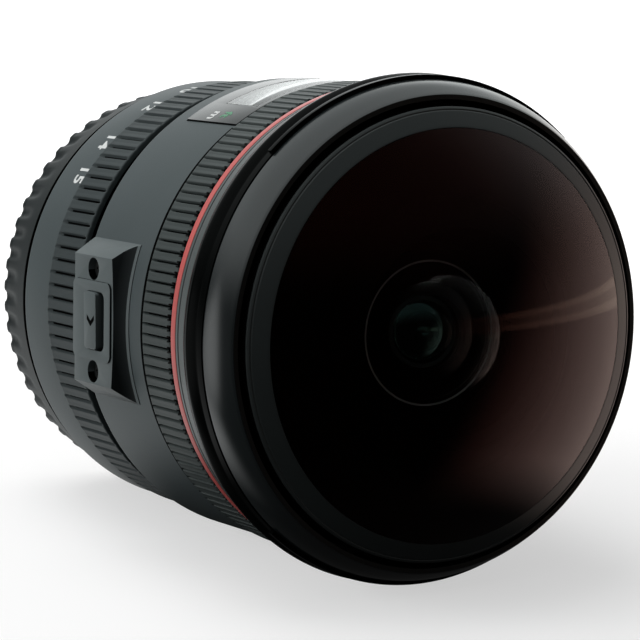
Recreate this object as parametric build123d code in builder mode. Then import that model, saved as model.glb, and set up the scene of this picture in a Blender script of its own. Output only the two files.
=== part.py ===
"""Zoom fisheye lens for a camera, as separate pieces.

The optical axis is the Y axis. The origin is the centre of the face that seats on the camera, +Z is up and
the front of the lens faces -Y. A station is a distance in front of the seat face, so a station s is y = -s.
An angle is measured round the axis from +X towards +Z.
"""
import os
from math import copysign, cos, degrees, pi, radians, sin, sqrt

from build123d import *

# Driving sizes, in millimetres: clearances that several pieces share
running_gap = 0.3
fit_gap = 0.05
overrun = 1.0

# Camera mount
mount_radius = 32.5
mount_thickness = 1.7
register_radius = 27.0
register_length = 1.6
claw_radius = 26.7
claw_neck_radius = 25.2
claw_neck_length = 1.8
claw_thickness = 1.5
claw_count = 3
claw_span = 56.0
throat_radius = 22.8
mount_screw_count = 4
mount_screw_circle = 29.75
mount_screw_head_radius = 1.6
mount_screw_head_depth = 0.9
mount_screw_shank_radius = 0.8
mount_screw_length = 4.6
gasket_width = 0.4
gasket_recess = 0.2

# Lengths of the outer bands, from the mount to the front
rear_barrel_length = 10.7
zoom_ring_length = 18.5
groove_length = 4.0
shell_length = 20.1
focus_ring_length = 8.75
red_ring_length = 1.35
name_ring_length = 3.65
hood_ring_length = 6.5
front_rim_length = 5.4

# Radii of the outer bands
rear_barrel_radius = 33.3
rear_barrel_flare = 1.6
zoom_band_radius = 35.45
zoom_grip_radius = 35.8
groove_radius = 34.6
shell_radius = 36.9
focus_grip_radius = 37.3
red_ring_radius = 37.35
name_ring_radius = 37.9
largest_radius = 39.25
hood_lip_radius = 38.6
front_rim_radius = 36.5
grip_rubber = 1.0

# Nested tubes inside
guide_radius = 31.2
guide_wall = 1.0
cam_wall = 1.0
flange_thickness = 1.6

# Grip patterns
scallop_count = 58
scallop_depth = 0.55
zoom_rib_count = 108
focus_rib_count = 144
rib_depth = 0.7
rib_share = 0.62
rib_slope_share = 1.15

# Travels
zoom_travel_angle = 53.0
front_travel = 3.0
rear_travel = 5.0
focus_travel = 1.4
switch_travel = 1.8

# Stations of the outer bands
rear_barrel_front = mount_thickness + rear_barrel_length
zoom_rear = rear_barrel_front + running_gap
zoom_front = zoom_rear + zoom_ring_length
groove_rear = zoom_front + running_gap
shell_rear = groove_rear + groove_length
shell_front = shell_rear + shell_length
focus_rear = shell_front + running_gap
focus_front = focus_rear + focus_ring_length
red_rear = focus_front + running_gap
red_front = red_rear + red_ring_length
name_front = red_front + name_ring_length
hood_front = name_front + hood_ring_length
rim_front = hood_front + front_rim_length

# Radii of the nested tubes
guide_bore = guide_radius - guide_wall
cam_bore = guide_radius + running_gap
cam_radius = cam_bore + cam_wall


def radial_plane(angle):
    """The plane through the axis at an angle: its x is the radius and its y is world Y."""
    turn = radians(angle)
    return Plane(origin=(0, 0, 0), x_dir=(cos(turn), 0, sin(turn)), z_dir=(-sin(turn), 0, cos(turn)))


def station_plane(station):
    """The plane across the axis at a station, looking forward: x is world X and y is world Z."""
    return Plane(origin=(0, -station, 0), x_dir=(1, 0, 0), z_dir=(0, -1, 0))


def tangent_plane(angle, radius, station):
    """A plane that touches a cylinder: x points forward, z points outwards."""
    turn = radians(angle)
    outwards = (cos(turn), 0, sin(turn))
    place = (radius * cos(turn), -station, radius * sin(turn))
    return Plane(origin=place, x_dir=(0, -1, 0), z_dir=outwards)


def leaning_plane(angle, radius, station, tilt):
    """A plane beside the axis that looks forward and leans outwards by a tilt in radians."""
    turn = radians(angle)
    forward = (sin(tilt) * cos(turn), -cos(tilt), sin(tilt) * sin(turn))
    return Plane(origin=(radius * cos(turn), -station, radius * sin(turn)), z_dir=forward)


def side_plane(angle):
    """The plane through the axis at an angle: its x points forward and its y is the radius."""
    turn = radians(angle)
    return Plane(origin=(0, 0, 0), x_dir=(0, -1, 0), z_dir=(-sin(turn), 0, cos(turn)))


def cross_plane(angle, station):
    """The plane across the axis at a station: its x is the radius at an angle, and it looks forward."""
    turn = radians(angle)
    return Plane(origin=(0, -station, 0), x_dir=(cos(turn), 0, sin(turn)), z_dir=(0, -1, 0))


def half_section(*corners, plane=Plane.XY):
    """A closed half section beside the axis, from corners of radius and station."""
    with BuildSketch(plane) as section:
        with BuildLine():
            Polyline(*[(radius, -station) for radius, station in corners], close=True)
        make_face()
    return section.sketch


def band(inner, outer, rear, front, plane=Plane.XY):
    """The half section of a plain ring."""
    return half_section((inner, rear), (outer, rear), (outer, front), (inner, front), plane=plane)


def bow(curve, height):
    """How far a surface of a curve radius falls back at a height from the axis."""
    return curve - copysign(sqrt(curve**2 - height**2), curve)


def toothed_outline(count, crest, root, share):
    """Corners of a ring of straight ribs: each rib has two crest corners and two root corners."""
    corners = []
    for tooth in range(count):
        middle = 2 * pi * tooth / count
        half_rib = pi / count * share
        half_root = pi / count * (2 - share)
        foot = half_rib * rib_slope_share
        for turn, radius in ((-half_rib, crest), (half_rib, crest), (foot, root), (half_root, root)):
            corners.append((radius * cos(middle + turn), radius * sin(middle + turn)))
    return corners


def lens_section(front_curve, rear_curve, vertex, thickness, edge, rear_edge=None):
    """The half section of a lens element; a curve is positive where its surface bulges forward."""
    rear_edge = rear_edge or edge
    rear_vertex = vertex - thickness

    def front_point(height):
        return (height, -(vertex - bow(front_curve, height)))

    def rear_point(height):
        return (height, -(rear_vertex - bow(rear_curve, height)))

    with BuildSketch(Plane.XY) as section:
        with BuildLine():
            ThreePointArc(front_point(0), front_point(edge / 2), front_point(edge))
            if rear_edge == edge:
                Line(front_point(edge), rear_point(edge))
            else:
                Polyline(front_point(edge), (edge, rear_point(rear_edge)[1]), rear_point(rear_edge))
            ThreePointArc(rear_point(rear_edge), rear_point(rear_edge / 2), rear_point(0))
            Line(rear_point(0), front_point(0))
        make_face()
    return section.sketch


def save(piece, name):
    """Labels a finished piece and writes its STEP file."""
    piece.part.label = name
    export_step(piece.part, f"parts/{name}.step")


os.makedirs("parts", exist_ok=True)

# Camera mount ring: flange plate, register, neck and three claws
claw_front = -(register_length + claw_neck_length)
claw_rear = claw_front - claw_thickness
screw_angles = [45 + 360 / mount_screw_count * number for number in range(mount_screw_count)]
claw_angles = [90 + 360 / claw_count * number for number in range(claw_count)]

with BuildPart() as mount_ring:
    revolve(
        half_section(
            (throat_radius, claw_rear),
            (claw_neck_radius, claw_rear),
            (claw_neck_radius, -register_length),
            (register_radius, -register_length),
            (register_radius, 0),
            (mount_radius, 0),
            (mount_radius, mount_thickness),
            (throat_radius, mount_thickness),
        ),
        axis=Axis.Y,
    )
    for angle in claw_angles:
        claw_plane = radial_plane(angle + claw_span / 2)
        claw = band(claw_neck_radius, claw_radius, claw_rear, claw_front, claw_plane)
        revolve(claw, axis=Axis.Y, revolution_arc=claw_span)
    with BuildSketch(station_plane(mount_thickness)):
        with PolarLocations(mount_screw_circle, mount_screw_count, start_angle=screw_angles[0]):
            Circle(mount_screw_shank_radius + fit_gap)
    extrude(amount=-mount_thickness, mode=Mode.SUBTRACT)
    with BuildSketch(station_plane(0)):
        with PolarLocations(mount_screw_circle, mount_screw_count, start_angle=screw_angles[0]):
            Circle(mount_screw_head_radius + fit_gap)
    extrude(amount=mount_screw_head_depth, mode=Mode.SUBTRACT)
save(mount_ring, "mount_ring")

# Four screws that hold the mount ring on the rear barrel
screw_cross_length_share = 1.3
screw_cross_width_share = 0.3
with BuildPart() as mount_screws:
    with BuildSketch(station_plane(fit_gap)):
        with PolarLocations(mount_screw_circle, mount_screw_count, start_angle=screw_angles[0]):
            Circle(mount_screw_head_radius)
    extrude(amount=mount_screw_head_depth - fit_gap)
    with BuildSketch(station_plane(mount_screw_head_depth)):
        with PolarLocations(mount_screw_circle, mount_screw_count, start_angle=screw_angles[0]):
            Circle(mount_screw_shank_radius)
    extrude(amount=mount_screw_length - mount_screw_head_depth)
    with BuildSketch(station_plane(fit_gap)):
        with PolarLocations(mount_screw_circle, mount_screw_count, start_angle=screw_angles[0]):
            cross_length = mount_screw_head_radius * screw_cross_length_share
            cross_width = mount_screw_head_radius * screw_cross_width_share
            Rectangle(cross_length, cross_width)
            Rectangle(cross_width, cross_length)
    extrude(amount=mount_screw_head_depth / 2, mode=Mode.SUBTRACT)
save(mount_screws, "mount_screws")

# Rubber gasket round the flange plate
with BuildPart() as mount_gasket:
    revolve(
        band(mount_radius, mount_radius + gasket_width, gasket_recess, mount_thickness),
        axis=Axis.Y,
    )
save(mount_gasket, "mount_gasket")

# Rear barrel with its scalloped grip: its rear wall takes the mount ring and its screws
rear_wall_thickness = 3.2
rear_wall_bore = 24.2
rear_bore = guide_radius + fit_gap
rear_wall_front = mount_thickness + rear_wall_thickness
scallop_radius = 1.5
rear_land_length = 1.2
rear_edge_break = 0.3
scallop_rear = mount_thickness
scallop_length = rear_barrel_length - rear_land_length
scallop_tilt = rear_barrel_flare / scallop_length
scallop_circle = rear_barrel_radius + scallop_radius - scallop_depth
rear_barrel_middle = mount_thickness + rear_barrel_length / 2
dot_radius = 1.3
dot_height = 1.2
dot_depth = 0.9
dot_seat = rear_barrel_radius + rear_barrel_flare / 2 - dot_depth
with BuildPart() as rear_barrel:
    revolve(
        half_section(
            (rear_wall_bore, mount_thickness),
            (rear_barrel_radius - rear_edge_break, mount_thickness),
            (rear_barrel_radius, mount_thickness + rear_edge_break),
            (rear_barrel_radius + rear_barrel_flare, rear_barrel_front - rear_land_length),
            (rear_barrel_radius + rear_barrel_flare, rear_barrel_front),
            (rear_bore, rear_barrel_front),
            (rear_bore, rear_wall_front),
            (rear_wall_bore, rear_wall_front),
        ),
        axis=Axis.Y,
    )
    for number in range(scallop_count):
        scallop_angle = 360 * number / scallop_count
        with BuildSketch(leaning_plane(scallop_angle, scallop_circle, scallop_rear, scallop_tilt)):
            Circle(scallop_radius)
        extrude(amount=scallop_length, mode=Mode.SUBTRACT)
    with BuildSketch(station_plane(mount_thickness)):
        with PolarLocations(mount_screw_circle, mount_screw_count, start_angle=screw_angles[0]):
            Circle(mount_screw_shank_radius + fit_gap)
    extrude(amount=rear_wall_thickness, mode=Mode.SUBTRACT)
    with BuildSketch(tangent_plane(90, dot_seat, rear_barrel_middle)):
        Circle(dot_radius + fit_gap)
    extrude(amount=dot_depth + overrun, mode=Mode.SUBTRACT)
save(rear_barrel, "rear_barrel")

# Mounting mark: a small raised dot on top of the rear barrel
with BuildPart() as mount_dot:
    with BuildSketch(tangent_plane(90, dot_seat, rear_barrel_middle)):
        Circle(dot_radius)
    extrude(amount=dot_height)
    fillet(mount_dot.faces().sort_by(Axis.Z)[-1].edges(), dot_height / 3)
save(mount_dot, "mount_dot")

# Contact block inside the throat at the bottom, with a row of gold pins
contact_block_inner = 19.6
contact_block_span = 56.0
contact_block_rear = -register_length - claw_neck_length
contact_block_front = mount_thickness
contact_count = 8
contact_pitch_angle = 6.2
contact_radius = 0.75
contact_proud = 0.25
contact_length = 2.2
contact_circle = (contact_block_inner + throat_radius) / 2
contact_angles = [
    270 + contact_pitch_angle * (number - (contact_count - 1) / 2) for number in range(contact_count)
]
with BuildPart() as contact_block:
    revolve(
        band(
            contact_block_inner,
            throat_radius - fit_gap,
            contact_block_rear,
            contact_block_front,
            radial_plane(270 + contact_block_span / 2),
        ),
        axis=Axis.Y,
        revolution_arc=contact_block_span,
    )
    with BuildSketch(station_plane(contact_block_rear)):
        for angle in contact_angles:
            with Locations((contact_circle * cos(radians(angle)), contact_circle * sin(radians(angle)))):
                Circle(contact_radius)
    extrude(amount=contact_length, mode=Mode.SUBTRACT)
save(contact_block, "contact_block")

with BuildPart() as contact_pins:
    with BuildSketch(station_plane(contact_block_rear - contact_proud)):
        for angle in contact_angles:
            with Locations((contact_circle * cos(radians(angle)), contact_circle * sin(radians(angle)))):
                Circle(contact_radius)
    extrude(amount=contact_length + contact_proud)
save(contact_pins, "contact_pins")

# Rear filter holder: a black plate across the throat with a window and two guide rails for a cut gel sheet
holder_thickness = 1.2
holder_window_width = 22.0
holder_window_height = 17.0
holder_window_corner = 2.0
holder_rail_width = 1.5
holder_rail_height = 1.0
holder_lip = 0.6
holder_front = rear_wall_front
holder_rear = holder_front - holder_thickness
holder_radius = rear_wall_bore - fit_gap
with BuildPart() as filter_holder:
    with BuildSketch(station_plane(holder_rear)):
        Circle(holder_radius)
        RectangleRounded(
            holder_window_width, holder_window_height, holder_window_corner, mode=Mode.SUBTRACT
        )
    extrude(amount=holder_thickness)
    rail_place = holder_window_width / 2 + holder_rail_width
    with BuildSketch(station_plane(holder_rear)):
        with Locations((-rail_place, 0), (rail_place, 0)):
            Rectangle(holder_rail_width, holder_window_height)
    extrude(amount=-holder_rail_height)
    with BuildSketch(station_plane(holder_rear - holder_rail_height)):
        with Locations((-rail_place + holder_lip, 0), (rail_place - holder_lip, 0)):
            Rectangle(holder_rail_width, holder_window_height)
    extrude(amount=-holder_lip)
save(filter_holder, "filter_holder")

# Circuit board: a ring behind the rear group, on the rear wall
board_thickness = 0.8
board_bore = 13.5
board_radius = guide_bore - running_gap
board_chip_size = 4.2
board_chip_height = 0.9
board_chip_count = 5
board_chip_span = 160.0
with BuildPart() as circuit_board:
    with BuildSketch(station_plane(rear_wall_front)):
        Circle(board_radius)
        Circle(board_bore, mode=Mode.SUBTRACT)
    extrude(amount=board_thickness)
    with BuildSketch(station_plane(rear_wall_front + board_thickness)):
        board_middle = (board_bore + board_radius) / 2
        with PolarLocations(board_middle, board_chip_count, angular_range=board_chip_span):
            Rectangle(board_chip_size, board_chip_size)
    extrude(amount=board_chip_height)
save(circuit_board, "circuit_board")

# Guide barrel: the fixed inner tube with straight slots for the follower pins. Its front flange turns back
# as a sleeve, which carries the focus ring and closes the scale pocket of the barrel shell.
pin_radius = 1.2
pin_slot_width = 2 * (pin_radius + running_gap)
pin_count = 3
front_pin_station = 54.0
rear_pin_station = 22.0
front_pin_angles = [30 + 360 / pin_count * number for number in range(pin_count)]
rear_pin_angles = [90 + 360 / pin_count * number for number in range(pin_count)]
guide_rear = rear_wall_front
flange_rear = focus_front + running_gap
flange_front = flange_rear + flange_thickness
sleeve_bore = 33.4
sleeve_radius = 35.1
sleeve_overlap = 1.0
sleeve_rear = shell_front - sleeve_overlap
with BuildPart() as guide_barrel:
    revolve(
        half_section(
            (guide_bore, guide_rear),
            (guide_radius, guide_rear),
            (guide_radius, flange_rear),
            (sleeve_bore, flange_rear),
            (sleeve_bore, sleeve_rear),
            (sleeve_radius, sleeve_rear),
            (sleeve_radius, flange_front),
            (guide_bore, flange_front),
        ),
        axis=Axis.Y,
    )
    for angle in front_pin_angles:
        with BuildSketch(tangent_plane(angle, guide_bore - overrun, front_pin_station - front_travel / 2)):
            SlotOverall(front_travel + pin_slot_width, pin_slot_width)
        extrude(amount=guide_wall + 2 * overrun, mode=Mode.SUBTRACT)
    for angle in rear_pin_angles:
        with BuildSketch(tangent_plane(angle, guide_bore - overrun, rear_pin_station + rear_travel / 2)):
            SlotOverall(rear_travel + pin_slot_width, pin_slot_width)
        extrude(amount=guide_wall + 2 * overrun, mode=Mode.SUBTRACT)
save(guide_barrel, "guide_barrel")

# Cam barrel: turns with the zoom ring and moves the follower pins with its slanted slots
cam_rear = rear_barrel_front + running_gap
cam_front = flange_rear - running_gap
cam_steps = 6


def cam_slot_places(pin_angle, pin_station, travel):
    """Tangent places along a cam slot: angle, station at its middle and the rise over one step."""
    step_angle = zoom_travel_angle / cam_steps
    rise = travel / cam_steps
    return [
        (pin_angle + step_angle * (step + 0.5), pin_station + rise * (step + 0.5), rise)
        for step in range(cam_steps)
    ]


with BuildPart() as cam_barrel:
    revolve(band(cam_bore, cam_radius, cam_rear, cam_front), axis=Axis.Y)
    slot_angles = [(angle, front_pin_station, -front_travel) for angle in front_pin_angles]
    slot_angles += [(angle, rear_pin_station, rear_travel) for angle in rear_pin_angles]
    for pin_angle, pin_station, travel in slot_angles:
        for angle, station, rise in cam_slot_places(pin_angle, pin_station, travel):
            run = cam_bore * radians(zoom_travel_angle / cam_steps)
            with BuildSketch(tangent_plane(angle, cam_bore - overrun, station)):
                with Locations(Location((0, 0, 0), (0, 0, 90 + degrees(rise / run)))):
                    SlotOverall(run + pin_slot_width + fit_gap, pin_slot_width)
            extrude(amount=cam_wall + 2 * overrun, mode=Mode.SUBTRACT)
save(cam_barrel, "cam_barrel")

# Zoom ring: a sleeve with a smooth band for its numbers, and a rib inside that grips the cam barrel
zoom_ring_bore = 33.4
zoom_band_length = 8.7
zoom_rib_rear = zoom_rear + zoom_band_length
zoom_drive_length = 4.0
zoom_edge = 0.4
with BuildPart() as zoom_ring:
    revolve(
        half_section(
            (zoom_ring_bore, zoom_rear),
            (zoom_band_radius - zoom_edge, zoom_rear),
            (zoom_band_radius, zoom_rear + zoom_edge),
            (zoom_band_radius, zoom_rib_rear),
            (zoom_grip_radius - grip_rubber, zoom_rib_rear),
            (zoom_grip_radius - grip_rubber, zoom_front),
            (zoom_ring_bore, zoom_front),
        ),
        axis=Axis.Y,
    )
    revolve(
        band(cam_radius, zoom_ring_bore, zoom_rib_rear, zoom_rib_rear + zoom_drive_length),
        axis=Axis.Y,
    )
save(zoom_ring, "zoom_ring")

# Rubber sleeve of the zoom ring, with straight ribs between two plain edges
grip_edge_length = 0.8


def ribbed_sleeve(bore, crest, rear, front, count):
    """A rubber sleeve: ribs all along it, closed by a plain band at each end."""
    root = crest - rib_depth
    with BuildPart() as sleeve:
        with BuildSketch(station_plane(rear)):
            with BuildLine():
                Polyline(*toothed_outline(count, crest, root, rib_share), close=True)
            make_face()
            Circle(bore, mode=Mode.SUBTRACT)
        extrude(amount=front - rear)
        revolve(band(bore, root + rib_depth / 2, rear, rear + grip_edge_length), axis=Axis.Y)
        revolve(band(bore, root + rib_depth / 2, front - grip_edge_length, front), axis=Axis.Y)
    return sleeve


zoom_grip = ribbed_sleeve(
    zoom_grip_radius - grip_rubber, zoom_grip_radius, zoom_rib_rear, zoom_front, zoom_rib_count
)
save(zoom_grip, "zoom_grip")

# Barrel shell: the fixed middle barrel, with a recessed groove behind its shoulder and a scale pocket inside
shell_lip_bore = 33.4
shell_bore = sleeve_radius
shell_shoulder = 0.5
pocket_wall = 1.5
pocket_rear = shell_rear + pocket_wall
window_angle = 90.0
window_span = 50.0
window_setback = 9.0
window_margin = 1.6
window_rear = shell_rear + window_setback
window_front = shell_front - window_margin
with BuildPart() as barrel_shell:
    revolve(
        half_section(
            (shell_lip_bore, groove_rear),
            (groove_radius, groove_rear),
            (groove_radius, shell_rear),
            (shell_radius - shell_shoulder, shell_rear),
            (shell_radius, shell_rear + shell_shoulder),
            (shell_radius, shell_front),
            (shell_bore, shell_front),
            (shell_bore, pocket_rear),
            (shell_lip_bore, pocket_rear),
        ),
        axis=Axis.Y,
    )
    window_cut = band(
        shell_bore - overrun,
        shell_radius + overrun,
        window_rear,
        window_front,
        radial_plane(window_angle + window_span / 2),
    )
    revolve(window_cut, axis=Axis.Y, revolution_arc=window_span, mode=Mode.SUBTRACT)
save(barrel_shell, "barrel_shell")

# Distance scale: a ring under the window that turns with the focus drive
scale_thickness = 1.2
scale_radius = shell_bore - running_gap
scale_rear = pocket_rear + running_gap
scale_front = sleeve_rear - running_gap
with BuildPart() as distance_scale:
    revolve(band(scale_radius - scale_thickness, scale_radius, scale_rear, scale_front), axis=Axis.Y)
save(distance_scale, "distance_scale")

# Window frame: a thin dark plate round the distance window, laid on the shell
frame_thickness = 0.25
frame_span = 66.0
frame_setback = 4.5
frame_margin = 0.2
frame_rear = shell_rear + frame_setback
frame_front = shell_front - frame_margin
with BuildPart() as window_frame:
    plate = band(
        shell_radius,
        shell_radius + frame_thickness,
        frame_rear,
        frame_front,
        radial_plane(window_angle + frame_span / 2),
    )
    revolve(plate, axis=Axis.Y, revolution_arc=frame_span)
    revolve(window_cut, axis=Axis.Y, revolution_arc=window_span, mode=Mode.SUBTRACT)
save(window_frame, "window_frame")

# Distance window: a clear curved pane set in the shell
pane_thickness = 1.0
with BuildPart() as distance_window:
    pane = band(
        shell_radius - pane_thickness,
        shell_radius + frame_thickness / 2,
        window_rear + fit_gap,
        window_front - fit_gap,
        radial_plane(window_angle + window_span / 2 - fit_gap),
    )
    revolve(pane, axis=Axis.Y, revolution_arc=window_span - 2 * fit_gap)
save(distance_window, "distance_window")

# Switch panels: a flat-topped boss with sloped sides on each side of the shell. Its front is scooped in a
# hollow that is turned round the axis. A raised bezel surrounds the pocket of the slider, and a screw recess
# lies at each end.
panel_length = 15.6
panel_top_height = 1.45
panel_top_length = 12.7
panel_top_width = 20.0
panel_foot_width = 24.8
panel_foot_depth = 2.2
panel_scoop_height = 0.1
panel_scoop_sag = 0.3
panel_scoop_lean = 1.2
panel_scoop_reach = 3.0
panel_corner = 1.2
bezel_height = 0.3
bezel_length = 12.1
bezel_width = 12.4
bezel_depth = 1.6
slot_length = 6.0
slot_width = 9.2
slot_depth = 1.35
slot_setback = 4.7
screw_recess_radius = 1.75
screw_recess_depth = 1.3
screw_recess_offset = 8.0
screw_recess_setback = 6.7
panel_rear = shell_rear + shell_shoulder
panel_front = shell_rear + panel_length
panel_top = shell_radius + panel_top_height
panel_floor = shell_radius - panel_foot_depth
slot_middle = shell_rear + slot_setback + slot_length / 2
screw_recess_station = shell_rear + screw_recess_setback


def scoop_section():
    """The half section of the hollow in front of a panel's top."""
    top_front = panel_rear + panel_top_length
    scoop_end = shell_radius + panel_scoop_height
    clear_radius = panel_top + panel_scoop_reach
    scoop_middle = ((panel_top + scoop_end) / 2 - panel_scoop_sag, -(top_front + panel_front) / 2)
    with BuildSketch(Plane.XY) as section:
        with BuildLine():
            ThreePointArc((panel_top, -top_front), scoop_middle, (scoop_end, -panel_front))
            Polyline(
                (scoop_end, -panel_front),
                (scoop_end, -panel_front - overrun),
                (clear_radius, -panel_front - overrun),
                (clear_radius, -top_front + panel_scoop_lean),
                (panel_top, -top_front),
            )
        make_face()
    return section.sketch


def switch_panel(angle):
    """A switch panel centred on an angle of the shell."""
    with BuildPart() as panel:
        with BuildSketch(side_plane(angle)):
            with BuildLine():
                Polyline(
                    (panel_front, panel_floor),
                    (panel_rear, panel_floor),
                    (panel_rear, panel_top),
                    (panel_front, panel_top),
                    close=True,
                )
            make_face()
        extrude(amount=panel_foot_width / 2, both=True)
        with BuildSketch(cross_plane(angle, panel_rear)):
            with BuildLine():
                Polyline(
                    (panel_top, -panel_top_width / 2),
                    (panel_top, panel_top_width / 2),
                    (panel_floor, panel_foot_width / 2),
                    (panel_floor, -panel_foot_width / 2),
                    close=True,
                )
            make_face()
        extrude(amount=panel_length, mode=Mode.INTERSECT)
        revolve(scoop_section(), axis=Axis.Y, mode=Mode.SUBTRACT)
        with BuildSketch(tangent_plane(angle, panel_top - bezel_depth, panel_rear + bezel_length / 2)):
            RectangleRounded(bezel_length, bezel_width, panel_corner)
        extrude(amount=bezel_depth + bezel_height)
        revolve(band(0, shell_radius, shell_rear, shell_front), axis=Axis.Y, mode=Mode.SUBTRACT)
        with BuildSketch(tangent_plane(angle, panel_top + bezel_height, slot_middle)):
            RectangleRounded(slot_length, slot_width, panel_corner)
        extrude(amount=-slot_depth, mode=Mode.SUBTRACT)
        with BuildSketch(tangent_plane(angle, panel_top, screw_recess_station)):
            with Locations((0, -screw_recess_offset), (0, screw_recess_offset)):
                Circle(screw_recess_radius)
        extrude(amount=-screw_recess_depth, mode=Mode.SUBTRACT)
    return panel


# Each slider lies in its pocket and can be pushed forward by the travel of the switch
slider_clearance = 0.15
slider_length = slot_length - switch_travel - 2 * slider_clearance
slider_width = slot_width - 2 * slider_clearance
slider_proud = 0.35
slider_groove_depth = 0.5
slider_groove_taper = 15.0
slider_groove_share = 1 / 3
slider_rear = slot_middle - slot_length / 2 + slider_clearance
slider_bottom = panel_top + bezel_height - slot_depth + slider_clearance
slider_top = panel_top + bezel_height + slider_proud


def switch_slider(angle):
    """A slider with a groove across its top for the fingernail."""
    middle = slider_rear + slider_length / 2
    with BuildPart() as slider:
        with BuildSketch(tangent_plane(angle, slider_bottom, middle)):
            RectangleRounded(slider_length, slider_width, panel_corner - slider_clearance)
        extrude(amount=slider_top - slider_bottom)
        with BuildSketch(tangent_plane(angle, slider_top, middle)):
            Rectangle(slider_length * slider_groove_share, slider_width * slider_groove_share)
        extrude(amount=-slider_groove_depth, taper=slider_groove_taper, mode=Mode.SUBTRACT)
    return slider


limit_angle = 179.0
mode_angle = 1.0
for switch_name, switch_angle in (("limit", limit_angle), ("mode", mode_angle)):
    save(switch_panel(switch_angle), f"{switch_name}_panel")
    save(switch_slider(switch_angle), f"{switch_name}_slider")

# Each panel is held by two small screws at the bottom of its recesses
panel_screw_radius = 1.3
panel_screw_height = 0.4
panel_screw_slot_width = 0.3
panel_screw_seat = panel_top - screw_recess_depth
with BuildPart() as panel_screws:
    for angle in (limit_angle, mode_angle):
        with BuildSketch(tangent_plane(angle, panel_screw_seat, screw_recess_station)):
            with Locations((0, -screw_recess_offset), (0, screw_recess_offset)):
                Circle(panel_screw_radius)
        extrude(amount=panel_screw_height)
        with BuildSketch(tangent_plane(angle, panel_screw_seat + panel_screw_height, screw_recess_station)):
            with Locations((0, -screw_recess_offset), (0, screw_recess_offset)):
                Rectangle(panel_screw_radius, panel_screw_slot_width)
                Rectangle(panel_screw_slot_width, panel_screw_radius)
        extrude(amount=-panel_screw_height / 2, mode=Mode.SUBTRACT)
save(panel_screws, "panel_screws")

# Focus ring: a sleeve with its rubber grip
focus_ring_bore = shell_bore + running_gap
with BuildPart() as focus_ring:
    revolve(band(focus_ring_bore, focus_grip_radius - grip_rubber, focus_rear, focus_front), axis=Axis.Y)
save(focus_ring, "focus_ring")

focus_grip = ribbed_sleeve(
    focus_grip_radius - grip_rubber, focus_grip_radius, focus_rear, focus_front, focus_rib_count
)
save(focus_grip, "focus_grip")

# Front barrel: the fixed tube in front of the flange, with the plain grey band that shows outside
front_barrel_bore = 35.6
front_barrel_wall = 0.7
front_barrel_radius = front_barrel_bore + front_barrel_wall
front_wall_thickness = 1.4
front_wall_bore = guide_radius + running_gap
name_ring_step = 0.25
with BuildPart() as front_barrel:
    revolve(
        half_section(
            (front_wall_bore, flange_front),
            (front_barrel_radius, flange_front),
            (front_barrel_radius, red_front),
            (red_ring_radius, red_front),
            (name_ring_radius, name_front - name_ring_step),
            (name_ring_radius, name_front),
            (front_barrel_radius, name_front),
            (front_barrel_radius, rim_front),
            (front_barrel_bore, rim_front),
            (front_barrel_bore, flange_front + front_wall_thickness),
            (front_wall_bore, flange_front + front_wall_thickness),
        ),
        axis=Axis.Y,
    )
save(front_barrel, "front_barrel")

# Red ring in front of the focus ring
with BuildPart() as red_ring:
    revolve(
        half_section(
            (sleeve_radius, red_rear),
            (red_ring_radius, red_rear),
            (red_ring_radius, red_front),
            (front_barrel_radius, red_front),
            (front_barrel_radius, flange_front),
            (sleeve_radius, flange_front),
        ),
        axis=Axis.Y,
    )
save(red_ring, "red_ring")

# Hood ring: the glossy black ring with the bayonet lugs for the lens hood
hood_swell = 3.1
hood_swell_fall_share = 0.3
hood_swell_rise_share = 0.45
hood_land = 1.6
lug_radius = 39.1
lug_thickness = 1.1
lug_span = 86.0
with BuildPart() as hood_ring:
    with BuildSketch(Plane.XY):
        with BuildLine():
            swell = (largest_radius, -(name_front + hood_swell))
            low = (name_ring_radius, -name_front)
            land = (hood_lip_radius, -(hood_front - hood_land))
            bend_radius = largest_radius - hood_swell_fall_share * (largest_radius - name_ring_radius)
            bend = (bend_radius, -(name_front + hood_swell * hood_swell_rise_share))
            ThreePointArc(low, bend, swell)
            Line(swell, land)
            Polyline(
                land,
                (hood_lip_radius, -hood_front),
                (front_barrel_radius, -hood_front),
                (front_barrel_radius, -name_front),
                low,
            )
        make_face()
    revolve(axis=Axis.Y)
    for angle in (90, 270):
        lug = band(
            hood_lip_radius,
            lug_radius,
            hood_front - lug_thickness,
            hood_front,
            radial_plane(angle + lug_span / 2),
        )
        revolve(lug, axis=Axis.Y, revolution_arc=lug_span)
save(hood_ring, "hood_ring")

# Front rim: the glossy grey shell that curves in to the front edge
rim_rear_radius = 38.5
rim_edge = 0.4
rim_belly_fall_share = 0.32
rim_belly_rise_share = 0.5
with BuildPart() as front_rim:
    with BuildSketch(Plane.XY):
        with BuildLine():
            shoulder = (rim_rear_radius, -hood_front)
            edge = (front_rim_radius, -(rim_front - rim_edge))
            belly_radius = rim_rear_radius - rim_belly_fall_share * (rim_rear_radius - front_rim_radius)
            belly = (belly_radius, -(hood_front + front_rim_length * rim_belly_rise_share))
            ThreePointArc(shoulder, belly, edge)
            Polyline(
                edge,
                (front_rim_radius - rim_edge / 2, -rim_front),
                (front_barrel_radius, -rim_front),
                (front_barrel_radius, -hood_front),
                shoulder,
            )
        make_face()
    revolve(axis=Axis.Y)
save(front_rim, "front_rim")

# Lens elements of the front group: curve radii, centre thickness and edge, in one place
front_curve = 60.0
front_rear_curve = 21.0
front_centre = 3.7
front_edge = 31.45
front_rear_edge = 19.0
front_proud = 2.3
retainer_radius = 34.6
retainer_rise = 0.8
front_edge_station = rim_front + front_proud
front_vertex = front_edge_station + bow(front_curve, front_edge)
front_seat = front_vertex - front_centre - bow(front_rear_curve, front_rear_edge)

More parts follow.
